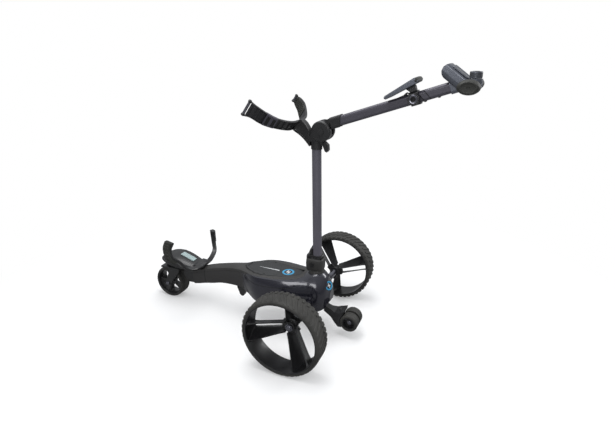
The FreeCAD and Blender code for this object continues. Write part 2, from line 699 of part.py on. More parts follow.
def make_knuckle():
    reach, up = size_of("knuckle_reach"), size_of("knuckle_height")
    radius, half = size_of("knuckle_radius"), size_of("knuckle_half_width")
    centre = size_of("stem_reach")
    deep, broad = size_of("stem_depth"), size_of("stem_breadth")
    drum = cross_rod(radius, reach, up, -half, half)
    drum = drum.makeFillet(6, [edge for edge in drum.Edges if abs(abs(edge.CenterOfMass.y) - half) < 0.1])
    collar = oval(centre, deep + 6, broad + 6, 716, 752)
    shoulder = side_prism([(-26, 744), (12, 744), (3, 790), (-32, 790)], -half + 8, half - 8)
    ears = [block(-35.5, -24, low, low + 4, 735, 750) for low in (-14.4, 10.4)]
    whole = fused(drum, collar, shoulder, *ears)
    pocket = cross_rod(radius - 1.0, reach, up, -10.4, 10.4)
    mouth_profile = [(reach, up), (-20, 830), (-90, 830), (-90, 700), (-40, 726), (-38, 745)]
    mouth = side_prism(mouth_profile, -10.4, 10.4)
    tube_seat = oval(centre, deep + 0.2, broad + 0.2, 700, 744.2)
    pin = cross_rod(6, reach, up, -40, 40)
    latch_bore = cross_rod(2.05, -31.5, 741, -20, 20)
    whole = whole.cut(pocket).cut(mouth).cut(tube_seat).cut(pin).cut(latch_bore)
    shaped("knuckle", max(whole.Solids, key=lambda solid: solid.Volume))
    corners = [("0", "-30"), ("11", "-30"), ("11", "-27.1"), ("6", "-27.1")]
    corners += [("6", "27.1"), ("11", "27.1"), ("11", "30"), ("0", "30")]
    turned("knuckle_pin", corners, "Dim.knuckle_reach", "0", "Dim.knuckle_height")
    lever_profile = [(-29, 743.5), (-41, 743), (-52, 733), (-53, 714), (-48, 708), (-41, 711), (-30, 737)]
    lever = side_prism(lever_profile, -9, 9)
    lever = lever.fuse(cross_rod(2, -31.5, 741, -14, 14)).removeSplitter()
    shaped("handle_latch", lever)


def bag_point(forward, left, along):
    """Point in the bag's own frame: forward of the yoke root, left, and along the bag."""
    tilt = math.radians(size_of("bag_tilt"))
    ahead = Vector(math.cos(tilt), 0, math.sin(tilt))
    axis = Vector(-math.sin(tilt), 0, math.cos(tilt))
    return Vector(60, 0, 812) + ahead * forward + Vector(0, left, 0) + axis * along


# Arms of the yoke's U, as (left, forward, middle along the bag, half width).
# The left arm carries the strap and is broader and longer than the right one.
YOKE_ARMS = {
    1: (
        (0, -6, -15, 16),
        (42, -4, -15, 17),
        (84, 7, -13, 17),
        (118, 29, -14, 18),
        (148, 58, -12, 21),
        (166, 88, -9, 22),
        (172, 105, -11, 26),
    ),
    -1: (
        (0, -6, -15, 16),
        (42, -4, -16, 17),
        (84, 7, -19, 18),
        (118, 29, -18, 21),
        (146, 56, -13, 21),
        (164, 82, -12, 18),
        (169, 96, -11, 13),
    ),
}


def yoke_strip(side, first, inward, thickness, trim=0.0):
    """Strip that follows one arm of the yoke, moved towards the bag by inward."""
    path = YOKE_ARMS[side]
    tilt = math.radians(size_of("bag_tilt"))
    axis = Vector(-math.sin(tilt), 0, math.cos(tilt))
    sections = []
    for index in range(first, len(path)):
        before = path[max(index - 1, 0)]
        after = path[min(index + 1, len(path) - 1)]
        run = Vector(after[1] - before[1], after[0] - before[0], 0)
        run.normalize()
        left, forward, along, half = path[index]
        # The bag lies on the side of the U that faces its open end.
        forward += run.y * inward
        left -= run.x * inward
        centre = bag_point(forward, side * left, along)
        normal = bag_point(forward + run.y, side * (left - run.x), along) - centre
        sections.append((centre, axis * (half - trim), normal * (thickness / 2)))
    return ribbon(sections)


def make_yoke():
    thick = size_of("yoke_thickness")
    arms = fused(yoke_strip(1, 0, 0, thick), yoke_strip(-1, 0, 0, thick))
    neck_profile = [(10, 716), (22, 735), (36, 750), (52, 763), (74, 776), (82, 790)]
    neck_profile += [(62, 806), (44, 820), (28, 806), (18, 792), (10, 780)]
    neck = side_prism(neck_profile, -12, 12)
    yoke = fused(arms, neck)
    deep, broad = size_of("stem_depth"), size_of("stem_breadth")
    clear = oval(size_of("stem_reach"), deep + 6.6, broad + 6.6, 690, 760)
    radius = size_of("knuckle_radius") + 0.6
    drum = cross_rod(radius, size_of("knuckle_reach"), size_of("knuckle_height"), -40, 40)
    yoke = yoke.cut(clear).cut(drum).cut(block(-60, 12.6, -20, 20, 690, 800))
    shaped("bag_yoke", max(yoke.Solids, key=lambda solid: solid.Volume))
    pads = [yoke_strip(side, 3, thick / 2 + 2.4, 4, 3.0) for side in (1, -1)]
    shaped("yoke_pads", group(*pads))
    strap = yoke_strip(1, 3, -thick / 2 - 1.6, size_of("strap_thickness"), 15.0)
    shaped("yoke_strap", strap)
    bars = []
    for side, path in YOKE_ARMS.items():
        left, forward, along, half = path[-1]
        low = bag_point(forward + 6.5, side * (left + 1), along - half - 3)
        high = bag_point(forward + 6.5, side * (left + 1), along + half + 3)
        axis = high - low
        length = axis.Length
        axis.normalize()
        nubs = [rod(6, low + axis * lift, low + axis * (lift + 6)) for lift in (1, length - 7)]
        bars.append(fused(rod(4, low, high), *nubs))
    shaped("yoke_hook_bars", group(*bars))


# ---------------------------------------------------------------- handle

# Handle frame: x runs up the handle from the knuckle, z is square to it and up.


def handle_place():
    turn = Rotation(Vector(0, 1, 0), size_of("handle_rise")).multiply(Rotation(Vector(0, 0, 1), 180))
    return Placement(Vector(size_of("knuckle_reach"), 0, size_of("knuckle_height")), turn)


def handle_bar(start, end, grow, rounding=9.0):
    """Solid with the handle tube's outline, grown all round."""
    offset = size_of("handle_offset")
    deep = size_of("handle_depth") / 2 + grow
    broad = size_of("handle_breadth") / 2 + grow
    bar = block(start, end, -broad, broad, offset - deep, offset + deep)
    long_edges = [edge for edge in bar.Edges if abs(edge.CenterOfMass.x - (start + end) / 2) < 0.01]
    return bar.makeFillet(rounding, long_edges)


def in_handle_frame(shape):
    """Bring a shape given in the trolley's frame into the handle's frame."""
    moved = shape.copy()
    moved.Placement = handle_place().inverse().multiply(shape.Placement)
    return moved


def make_handle():
    place_handle = handle_place()
    wall = 2.0
    end = size_of("handle_end")
    tube = handle_bar(48, end, 0).cut(handle_bar(40, end + 10, -wall, 7.0))
    relief = block(40, 76, -11, 11, -10, 16.5)
    shaped("handle_tube", tube.cut(relief), place_handle)

    # Arm: a disc on the knuckle pivot and a slant-ended sleeve round the tube.
    disc = cross_rod(size_of("knuckle_radius") - 1.6, 0, 0, -9.8, 9.8)
    sleeve = handle_bar(37.5, 84, 3.0)
    slant = side_prism([(62, -20), (90, -20), (90, 50), (84, 50)], -30, 30)
    web = side_prism([(18, 2), (38.5, 2), (38.5, 32), (26, 32), (10, 28)], -9.8, 9.8)
    arm = fused(sleeve.cut(slant), web, disc)
    arm = arm.cut(handle_bar(47.8, 100, 0.1)).cut(cross_rod(6.05, 0, 0, -20, 20))
    arm = arm.cut(block(25, 78, -11, 11, -20, 16.5))
    shaped("knuckle_arm", max(arm.Solids, key=lambda solid: solid.Volume), place_handle)


# Half width of the score card holder.
CARD_HALF = 42.0


def make_clamp():
    """Accessory clamp round the handle, its knob, and the score card holder on it."""
    place_handle = handle_place()
    offset = size_of("handle_offset")
    collar = handle_bar(307, 335, 4.5, 6.0)
    boss = cross_rod(13, 321, offset, -24, -16)
    collar = fused(collar, boss).cut(handle_bar(300, 340, 0.1)).cut(cross_rod(4.06, 321, offset, -30, -14.2))
    shaped("clamp_collar", collar, place_handle)
    knob = cross_rod(18, 321, offset, -38, -25).cut(cross_rod(7, 321, offset, -40, -33))
    grooves = []
    for index in range(6):
        angle = math.radians(60 * index + 30)
        grooves.append(cross_rod(4, 321 + 20 * math.cos(angle), offset + 20 * math.sin(angle), -40, -20))
    knob = knob.cut(group(*grooves)).fuse(cross_rod(4, 321, offset, -26, -15)).removeSplitter()
    shaped("clamp_knob", knob, place_handle)

    bracket_profile = [(312, 36.2), (331, 36.2), (331, 52), (322, 56.5), (300, 51), (306, 44)]
    bracket = side_prism(bracket_profile, -12, 12)
    holder_profile = [(238, 42), (242, 38), (345, 57), (349, 63), (343, 70.5), (338, 71.2), (238, 46)]
    holder = side_prism(holder_profile, -CARD_HALF, CARD_HALF)
    bracket = bracket.cut(holder)
    shaped("card_bracket", bracket, place_handle)
    pocket = side_prism([(246, 45.2), (342, 67.4), (342, 80), (246, 58)], 4 - CARD_HALF, CARD_HALF - 4)
    base = softened(holder, 2.0, lambda p: abs(abs(p.y) - CARD_HALF) < 0.01)
    shaped("card_base", base.cut(pocket), place_handle)
    lid_profile = [(246.6, 46.4), (241, 47.4), (238.4, 48.2), (338, 73.6), (342, 72.6), (341.4, 68.6)]
    lid = side_prism(lid_profile, 4.4 - CARD_HALF, CARD_HALF - 4.4)
    lid = lid.cut(holder.cut(pocket))
    shaped("card_lid", max(lid.Solids, key=lambda solid: solid.Volume), place_handle)


def grip_ring(left, share):
    """Oval outline of a grip, at a distance to the left, scaled by share."""
    centre = Vector(size_of("grip_reach"), left, size_of("grip_height"))
    deep, high = size_of("grip_half_depth") * share, size_of("grip_half_height") * share
    ellipse = Part.Ellipse(centre + Vector(deep, 0, 0), centre + Vector(0, 0, high), centre)
    return Part.Wire(ellipse.toShape())


def make_console():
    place_handle = handle_place()
    pod_place = Placement(Vector(434, 0, 65), Rotation(Vector(0, 1, 0), 55.3))
    nose = [(-6, 16), (-13, 10), (-16, 0), (-13, -12), (-6, -20), (4, -25)]
    pod = block(-20, 105, -37, 37, -25, 16)
    pod = softened(pod, 9, lambda p: abs(p.y) > 36 and p.z > 15)
    pod = softened(pod, 17, lambda p: abs(p.y) > 36 and p.z < -24)
    pod = pod.common(side_prism(nose + [(52, -25), (92, -6), (104, 4), (104, 16)], -40, 40))
    pod.Placement = pod_place
    screen_seat = block(12, 57, -30, 30, 13.4, 20)
    screen_seat.Placement = pod_place
    screen = block(12.4, 56.6, -29.6, 29.6, 13.6, 16.4)
    screen.Placement = pod_place
    neck = handle_bar(426, 456, 3.0)
    bar_reach = size_of("bar_half_length")
    bar_centre = in_handle_frame(cross_rod(size_of("bar_radius"), -495, 935, -bar_reach, bar_reach))
    bar_room = in_handle_frame(cross_rod(size_of("bar_radius") + 0.05, -495, 935, -120, 120))
    seat = in_handle_frame(Part.makeCylinder(20, 20.5, Vector(-498, 0, 933)))
    dial_bore = in_handle_frame(Part.makeCylinder(4.06, 10, Vector(-498, 0, 949.5)))
    dial_room = in_handle_frame(Part.makeCylinder(size_of("dial_radius") + 2, 40, Vector(-498, 0, 953.5)))
    shell = fused(pod, neck, seat).cut(handle_bar(420, size_of("handle_end") + 0.2, 0.1))
    shell = shell.cut(screen_seat).cut(bar_room).cut(dial_bore).cut(dial_room)
    shaped("console_shell", max(shell.Solids, key=lambda solid: solid.Volume), place_handle)
    shaped("console_screen", screen, place_handle)
    shaped("t_bar", bar_centre, place_handle)

    grips = []
    for _, side in SIDES:
        bore = cross_rod(size_of("bar_radius") + 0.1, -495, 935, *sorted((side * 39, side * 88.2)))
        rings = [grip_ring(side * y, share) for y, share in ((40, 0.72), (60, 1.0), (76, 1.0), (92, 0.76))]
        grips.append(in_handle_frame(Part.makeLoft(rings, True, True).cut(bore)))
    shaped("grips", group(*grips), place_handle)

    dial = Part.makeCylinder(size_of("dial_radius"), 18, Vector(-498, 0, 955.5))
    dial = dial.makeFillet(1.5, [dial.Edges[0]])
    stub = Part.makeCylinder(4, 5, Vector(-498, 0, 951.6))
    button_room = Part.makeCylinder(10.05, 10, Vector(-498, 0, 968))
    dial = fused(dial, stub).cut(button_room)
    shaped("speed_dial", in_handle_frame(dial), place_handle)
    shaped("dial_button", in_handle_frame(Part.makeCylinder(10, 5, Vector(-498, 0, 969.5))), place_handle)


# ---------------------------------------------------------------- build and write

make_body()
make_drive()
make_hosel()
make_battery()
make_rear_badge()
make_front_end()
make_caster()
make_small_wheel("front", "Dim.front_wheel_radius", "Dim.front_wheel_width", "10",
                 "Dim.front_wheel_reach", "13", "15", "5.05", 5)
make_anti_tip()
make_foot()
for side_name, side_sign in SIDES:
    make_rear_wheel(side_name, side_sign)
make_stem()
make_knuckle()
make_yoke()
make_handle()
make_clamp()
make_console()
doc.recompute()

for item in doc.Objects:
    if any(state in ("Invalid", "Error") for state in item.State):
        raise RuntimeError("%s failed to recompute" % item.Name)
for item in SUBPARTS:
    if item.Shape.isNull() or not item.Shape.isValid() or not item.Shape.Solids:
        raise RuntimeError("%s has no valid shape" % item.Label)
for item in SUBPARTS:
    item.Shape.exportStep("parts/%s.step" % item.Label)
print(len(SUBPARTS), "sub-parts written")
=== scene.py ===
"""Looks of the electric golf trolley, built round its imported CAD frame.

Metres, +X forwards, +Y left, +Z up. Places are given in millimetres from the point on the floor
below the rear axle, as the design is laid out, and turned into the frame's metres by at().
"""

import json
import math

import bmesh
import bpy
from mathutils import Matrix, Vector
from mathutils.bvhtree import BVHTree


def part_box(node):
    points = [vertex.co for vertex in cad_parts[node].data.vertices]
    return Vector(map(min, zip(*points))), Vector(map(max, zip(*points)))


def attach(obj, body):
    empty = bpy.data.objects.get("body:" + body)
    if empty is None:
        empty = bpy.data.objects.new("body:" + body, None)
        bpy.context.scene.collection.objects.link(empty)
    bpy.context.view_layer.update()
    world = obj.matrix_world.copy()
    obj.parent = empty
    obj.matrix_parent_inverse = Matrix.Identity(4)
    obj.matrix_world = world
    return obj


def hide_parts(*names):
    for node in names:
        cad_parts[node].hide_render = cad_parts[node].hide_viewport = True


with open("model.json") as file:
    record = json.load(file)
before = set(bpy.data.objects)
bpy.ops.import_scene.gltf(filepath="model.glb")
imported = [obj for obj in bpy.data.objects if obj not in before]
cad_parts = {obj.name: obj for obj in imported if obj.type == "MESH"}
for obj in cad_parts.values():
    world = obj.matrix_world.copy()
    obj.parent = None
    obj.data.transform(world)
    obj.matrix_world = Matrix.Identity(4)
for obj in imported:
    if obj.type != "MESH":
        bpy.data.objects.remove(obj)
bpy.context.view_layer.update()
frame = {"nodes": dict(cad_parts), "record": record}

MM = 0.001
SIDES = (("left", 1), ("right", -1))


def middle(cad):
    low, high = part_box(cad)
    return (low + high) / 2


def half_size(cad):
    """Half the size of a CAD node, in millimetres."""
    low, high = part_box(cad)
    return (high - low) / 2 / MM


AXLE_X = middle("tyre_left").x
ORIGIN = Vector((0, 0, 0))


def at(x, y, z):
    """Frame point from millimetres ahead of the rear axle, left of the middle and above the floor."""
    return Vector((AXLE_X + x * MM, y * MM, z * MM))


# ---------------- finishes


def node(tree, kind, inputs=(), **settings):
    """Shader node with its settings made and its inputs set or linked."""
    made = tree.nodes.new(kind)
    for key, value in settings.items():
        setattr(made, key, value)
    for key, value in dict(inputs).items():
        if isinstance(value, bpy.types.NodeSocket):
            tree.links.new(value, made.inputs[key])
        else:
            made.inputs[key].default_value = value
    return made


def new_finish(name):
    """Empty node material with its output; returns the material and its tree."""
    material = bpy.data.materials.new(name)
    material.use_nodes = True
    material.node_tree.nodes.clear()
    return material, material.node_tree


def mixed(tree, share, first, second):
    """Colour between two colours or colour sockets."""
    inputs = {"Factor": share, 6: first, 7: second}
    return node(tree, "ShaderNodeMix", inputs, data_type="RGBA").outputs[2]


def ranged(tree, value, low, high, new_low, new_high):
    inputs = {"Value": value, "From Min": low, "From Max": high, "To Min": new_low, "To Max": new_high}
    return node(tree, "ShaderNodeMapRange", inputs).outputs[0]


def product(tree, first, second):
    return node(tree, "ShaderNodeMath", {0: first, 1: second}, operation="MULTIPLY").outputs[0]


def noise(tree, place, scale, detail=4.0, roughness=0.55):
    inputs = {"Vector": place, "Scale": scale, "Detail": detail, "Roughness": roughness}
    return node(tree, "ShaderNodeTexNoise", inputs).outputs["Fac"]


def grey(level):
    return (level, level, level, 1.0)


EDGE_RADIUS = 1.2 * MM
GRAIN_HEIGHT = 0.4 * MM
BEAM_GREY = (0.030, 0.029, 0.029, 1.0)
# Where the glossy body ends and the matt beam begins, along the frame's X.
BODY_GLOSS_END = 0.172


def matt_front(tree, shade, gloss, coat, metal):
    """Turn a glossy finish into the beam's grey matt ahead of BODY_GLOSS_END."""
    place = node(tree, "ShaderNodeNewGeometry").outputs["Position"]
    split = node(tree, "ShaderNodeSeparateXYZ", {0: place})
    ahead = ranged(tree, split.outputs[0], BODY_GLOSS_END, BODY_GLOSS_END + 4 * MM, 0.0, 1.0)
    shade = mixed(tree, ahead, shade, BEAM_GREY)
    gloss = node(tree, "ShaderNodeMix", {0: ahead, 2: gloss, 3: 0.5}).outputs[0]
    return shade, gloss, ranged(tree, ahead, 0.0, 1.0, coat, 0.05), ranged(tree, ahead, 0.0, 1.0, metal, 0.0)


def finish(name, colour, rough, metal, coat, grain, depth, cloud, wear, worn, pattern=None):
    """Moulded or painted surface: clouded colour, grain, uneven gloss and rubbed edges."""
    material, tree = new_finish(name)
    place = node(tree, "ShaderNodeTexCoord").outputs["Object"]
    broad = noise(tree, place, 11.0, 6.0)
    fine = noise(tree, place, grain, 3.0)
    dark = [c * (1 - cloud) for c in colour] + [1.0]
    light = [c * (1 + cloud) for c in colour] + [1.0]
    shade = mixed(tree, ranged(tree, broad, 0.35, 0.65, 0.0, 1.0), dark, light)
    eased = node(tree, "ShaderNodeBevel", {"Radius": EDGE_RADIUS}, samples=4).outputs[0]
    facing = node(tree, "ShaderNodeNewGeometry").outputs["Normal"]
    flat = node(tree, "ShaderNodeVectorMath", {0: eased, 1: facing}, operation="DOT_PRODUCT")
    rubbed = ranged(tree, flat.outputs["Value"], 0.99, 0.86, 0.0, wear)
    patchy = ranged(tree, noise(tree, place, 140.0, 5.0, 0.7), 0.42, 0.62, 0.2, 1.0)
    shade = mixed(tree, product(tree, rubbed, patchy), shade, [c + worn for c in colour] + [1.0])
    gloss = ranged(tree, noise(tree, place, 37.0, 8.0, 0.65), 0.3, 0.7, rough - 0.07, rough + 0.09)
    if name == "body_gloss":
        shade, gloss, coat, metal = matt_front(tree, shade, gloss, coat, metal)
    bump = node(tree, "ShaderNodeBump", {"Height": pattern(tree, place, fine) if pattern else fine,
                                         "Strength": depth, "Distance": GRAIN_HEIGHT, "Normal": eased})
    surface = node(tree, "ShaderNodeBsdfPrincipled",
                   {"Base Color": shade, "Roughness": gloss, "Metallic": metal, "Coat Weight": coat,
                    "Coat Roughness": 0.08, "Normal": bump.outputs[0]})
    node(tree, "ShaderNodeOutputMaterial", {"Surface": surface.outputs[0]})
    return material


def leather_grain(tree, place, fine):
    """Cells of a spark-eroded mould texture over the fine grain."""
    cells = node(tree, "ShaderNodeTexVoronoi", {"Vector": place, "Scale": 620.0}).outputs["Distance"]
    return node(tree, "ShaderNodeMath", {0: cells, 1: fine}, operation="ADD").outputs[0]


def brushed(tree, place, _):
    """Fine lines along the part."""
    stretched = node(tree, "ShaderNodeMapping", {"Vector": place, "Scale": (40.0, 1.0, 40.0)}).outputs[0]
    return noise(tree, stretched, 90.0, 4.0)


def webbing(tree, place, _):
    """Rows of woven threads from the strap's own coordinates."""
    across = node(tree, "ShaderNodeUVMap").outputs[0]
    rows = node(tree, "ShaderNodeTexWave", {"Vector": across, "Scale": 60.0, "Distortion": 1.5},
                bands_direction="X").outputs["Fac"]
    columns = node(tree, "ShaderNodeTexWave", {"Vector": across, "Scale": 8.0, "Distortion": 0.5},
                   bands_direction="Y").outputs["Fac"]
    return product(tree, rows, columns)


# Colour, roughness, metal, coat, grain scale, grain depth, clouding, edge wear, paler worn colour, pattern.
LOOKS = {
    "body_matt": ((0.034, 0.033, 0.032), 0.50, 0.0, 0.05, 1100.0, 0.35, 0.14, 0.3, 0.05, leather_grain),
    "body_gloss": ((0.019, 0.019, 0.030), 0.2, 0.35, 0.75, 700.0, 0.03, 0.12, 0.35, 0.1),
    "black_plastic": ((0.015, 0.015, 0.016), 0.34, 0.0, 0.12, 1300.0, 0.2, 0.18, 0.4, 0.07),
    "tube_paint": ((0.075, 0.071, 0.090), 0.42, 0.35, 0.12, 2600.0, 0.12, 0.07, 0.3, 0.12),
    "stem_paint": ((0.125, 0.119, 0.145), 0.42, 0.3, 0.15, 2600.0, 0.12, 0.07, 0.3, 0.12),
    "steel": ((0.45, 0.45, 0.46), 0.32, 1.0, 0.0, 900.0, 0.1, 0.1, 0.2, 0.2, brushed),
    "alloy": ((0.38, 0.38, 0.4), 0.4, 0.9, 0.0, 1500.0, 0.15, 0.08, 0.2, 0.2),
    "tyre_rubber": ((0.034, 0.033, 0.030), 0.66, 0.0, 0.0, 800.0, 0.5, 0.3, 0.5, 0.05),
    "soft_rubber": ((0.026, 0.027, 0.023), 0.6, 0.0, 0.0, 1500.0, 0.4, 0.2, 0.35, 0.06, leather_grain),
    "battery_case": ((0.021, 0.022, 0.023), 0.55, 0.0, 0.0, 1000.0, 0.7, 0.15, 0.3, 0.07, leather_grain),
    "silver_plastic": ((0.108, 0.117, 0.142), 0.33, 0.5, 0.3, 1900.0, 0.05, 0.06, 0.4, 0.2),
    "screen_glass": ((0.006, 0.007, 0.009), 0.1, 0.0, 0.8, 300.0, 0.01, 0.1, 0.1, 0.05),
    "badge_blue": ((0.03, 0.33, 0.60), 0.3, 0.1, 0.5, 900.0, 0.03, 0.05, 0.3, 0.2),
    "label_grey": ((0.33, 0.42, 0.42), 0.45, 0.0, 0.2, 900.0, 0.08, 0.05, 0.2, 0.1),
    "strap_web": ((0.016, 0.016, 0.018), 0.8, 0.0, 0.0, 2200.0, 0.8, 0.2, 0.1, 0.04, webbing),
    "mark_white": ((0.62, 0.64, 0.65), 0.4, 0.0, 0.3, 900.0, 0.03, 0.04, 0.1, 0.1),
    "dark_chrome": ((0.16, 0.16, 0.19), 0.16, 0.9, 0.5, 900.0, 0.02, 0.05, 0.3, 0.3),
    # Near-black for painted shade: seam shadows, sleeve slots, finger pockets and the knob's hollow.
    "painted_shade_black": ((0.006, 0.006, 0.006), 0.7, 0.0, 0.0, 900.0, 0.1, 0.2, 0.1, 0.01),
}
FINISHES = {name: finish(name, *look) for name, look in LOOKS.items()}

# CAD nodes that don't have the look of their material slot.
OWN_LOOKS = {
    "stem_tube": "stem_paint", "stem_pivot_pin": "black_plastic",
    **dict.fromkeys(("front_axle", "tip_axle", "axle_tubes", "hub_cap_left", "hub_cap_right",
                     "release_left", "release_right"), "dark_chrome"),
}
for part in frame["record"]["subparts"]:
    slots = frame["nodes"][part["node"]].data.materials
    slots.clear()
    slots.append(FINISHES[OWN_LOOKS.get(part["node"], part["material_slot"])])


# ---------------- mesh making


def merged(parts):
    """One list of points and faces from several."""
    points, faces = [], []
    for more_points, more_faces in parts:
        base = len(points)
        points.extend(more_points)
        faces.extend([tuple(base + i for i in face) for face in more_faces])
    return points, faces


def moved(part, matrix):
    points, faces = part
    return [matrix @ Vector(p) for p in points], faces


def loft(rings, loop=False):
    """Skin through closed rings of equal length, capped at both ends unless it closes in a loop."""
    count = len(rings[0])
    points = [Vector(p) for ring in rings for p in ring]
    faces = []
    spans = len(rings) if loop else len(rings) - 1
    for i in range(spans):
        a, b = i * count, ((i + 1) % len(rings)) * count
        for k in range(count):
            n = (k + 1) % count
            faces.append((a + k, a + n, b + n, b + k))
    if not loop:
        faces.append(tuple(range(count - 1, -1, -1)))
        faces.append(tuple(range(len(points) - count, len(points))))
    return points, faces


def around(turn):
    """Unit vector at an angle in the plane of the wheels."""
    return Vector((math.cos(turn), 0, math.sin(turn)))


def turns(count):
    """Angles that share a full turn evenly."""
    return [2 * math.pi * i / count for i in range(count)]


def lathe(profile, centre, steps):
    """Closed outline of (radius, place on the axis), millimetres, turned about the Y axis through centre."""
    return loft([[centre + (around(turn) * r + Vector((0, y, 0))) * MM for r, y in profile]
                 for turn in turns(steps)], loop=True)


def upright_lathe(profile, centre, steps):
    """The same about the Z axis."""
    return loft([[centre + Vector((r * math.cos(turn), r * math.sin(turn), z)) * MM for r, z in profile]
                 for turn in turns(steps)], loop=True)


def rounded(outline, radius, steps=4):
    """Outline of 2-D points with its corners rounded off."""
    done = []
    count = len(outline)
    for i in range(count):
        before, here, after = (Vector(outline[j % count]) for j in (i - 1, i, i + 1))
        reach = min(radius, (before - here).length * 0.45, (after - here).length * 0.45)
        start = here + (before - here).normalized() * reach
        end = here + (after - here).normalized() * reach
        for k in range(steps + 1):
            t = k / steps
            done.append(start * (1 - t) ** 2 + here * 2 * t * (1 - t) + end * t ** 2)
    return done


def curve_points(path, steps):
    """Smooth run of Vectors through the points of a path (Catmull-Rom)."""
    ends = [path[0] * 2 - path[1]] + list(path) + [path[-1] * 2 - path[-2]]
    run = []
    for i in range(1, len(ends) - 2):
        a, b, c, d = ends[i - 1:i + 3]
        for k in range(steps):
            t = k / steps
            run.append((b * 2 + (c - a) * t + (a * 2 - b * 5 + c * 4 - d) * t ** 2
                        + (b * 3 - a - c * 3 + d) * t ** 3) / 2)
    run.append(path[-1].copy())
    return run


def prism(outline, low, high):
    """Prism over a 2-D outline given in (x, z), from y = low to y = high."""
    return loft([[Vector((p[0], y, p[1])) for p in outline] for y in (low, high)])


def plate(outline, low, high):
    """Prism over a 2-D outline given in (x, y), from z = low to z = high."""
    return loft([[Vector((p[0], p[1], z)) for p in outline] for z in (low, high)])


def sheet_frame(origin, across, normal):
    """Matrix whose X runs across and whose Z is the normal."""
    z = normal.normalized()
    x = (across - z * across.dot(z)).normalized()
    y = z.cross(x)
    matrix = Matrix((x, y, z)).transposed().to_4x4()
    matrix.translation = origin
    return matrix


def piece(name, part, body, slot, replaces=(), look=None, bevel=0.0, sharp=35.0):
    """Object made from points and faces, on its body and with the finish of its slot or its own look.

    The bevel is in millimetres and the sharp angle in degrees.
    """
    mesh = bpy.data.meshes.new(name)
    mesh.from_pydata([tuple(p) for p in part[0]], [], part[1])
    tidy = bmesh.new()
    tidy.from_mesh(mesh)
    bmesh.ops.remove_doubles(tidy, verts=tidy.verts, dist=1e-6)
    bmesh.ops.dissolve_degenerate(tidy, dist=1e-7, edges=tidy.edges)
    bmesh.ops.recalc_face_normals(tidy, faces=tidy.faces)
    tidy.to_mesh(mesh)
    tidy.free()
    mesh.shade_smooth()
    mesh.set_sharp_from_angle(angle=math.radians(sharp))
    made = bpy.data.objects.new(name, mesh)
    bpy.context.scene.collection.objects.link(made)
    mesh.materials.append(FINISHES[look or slot])
    if bevel:
        round_off = made.modifiers.new("round_off", "BEVEL")
        round_off.width = bevel * MM
        round_off.segments = 2
        round_off.limit_method = "ANGLE"
        round_off.angle_limit = math.radians(40)
        round_off.harden_normals = True
    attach(made, body)
    if replaces:
        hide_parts(*replaces)


# ---------------- rear wheels

LUGS = 44
LUG_WIDTH = 11.0
LONG_SLANT = 20.0
SHORT_SLANT = 8.0
TREAD = 3.2

# Tread bars as (share of the half width towards the outer wall, drop of the top, drop of the foot, width).
LONG_BAR = ((-0.34, 0.5, 3.6, 0.8), (-0.24, 0.0, 3.6, 0.95), (0.25, 0.0, 3.6, 1.0), (0.62, 0.0, 3.7, 1.1),
            (0.78, 0.7, 4.2, 1.2), (0.90, 3.2, 6.4, 1.2))
SHORT_BAR = ((-0.46, 0.3, 3.6, 0.8), (-0.56, 0.0, 3.6, 1.0), (-0.76, 0.0, 3.8, 1.2), (-0.92, 1.2, 7.0, 1.35),
             (-0.985, 5.0, 10.0, 1.35))

RIM_DEPTH = 72
RIM_WALL = 4
# Direction of the first spoke of each wheel, degrees.
FIRST_SPOKE = {1: -4.5, -1: 168.0}


def tyre_outline(radius, half):
    """Cross section of the carcass, with a bead ridge low on each wall."""
    wall = [(radius - 12.9, half - 0.6), (radius - 11.6, half), (radius - 10.4, half - 0.9),
            (radius - 8.6, half - 0.3), (radius - 6.0, half - 1.6), (radius - TREAD - 0.8, half - 5.0),
            (radius - TREAD, half - 9.0)]
    return [(r, -y) for r, y in wall] + [(radius - TREAD, 0.0)] + [(r, y) for r, y in reversed(wall)]


def lug(centre, radius, half, turn, side, stations, slant):
    """One slanting tread bar, tapered down where it runs out on the shoulder."""
    rings = []
    for share, top_drop, foot_drop, widen in stations:
        across = Vector((0, side * share * half, 0))
        ring = []
        for offset, drop in ((-0.5, foot_drop), (-0.38, top_drop), (0.38, top_drop), (0.5, foot_drop)):
            lead = (slant * share + offset * LUG_WIDTH * widen) / radius
            ring.append(centre + (around(turn + lead) * (radius - drop) + across) * MM)
        rings.append(ring)
    return loft(rings)


def make_tyre(name, side):
    cad = "tyre_" + name
    centre = middle(cad)
    radius, half = half_size(cad).z, half_size(cad).y
    parts = [lathe(tyre_outline(radius, half), centre, 152)]
    pitch = 2 * math.pi / LUGS
    for i in range(LUGS):
        parts.append(lug(centre, radius, half, i * pitch, side, LONG_BAR, LONG_SLANT))
        parts.append(lug(centre, radius, half, (i + 0.55) * pitch, side, SHORT_BAR, SHORT_SLANT))
    piece("tread_tyre_" + name, merged(parts), "wheel_" + name, "tyre_rubber", [cad], bevel=0.6)


def polar_point(centre, reach, degrees, y):
    return centre + (around(math.radians(degrees)) * reach + Vector((0, y, 0))) * MM


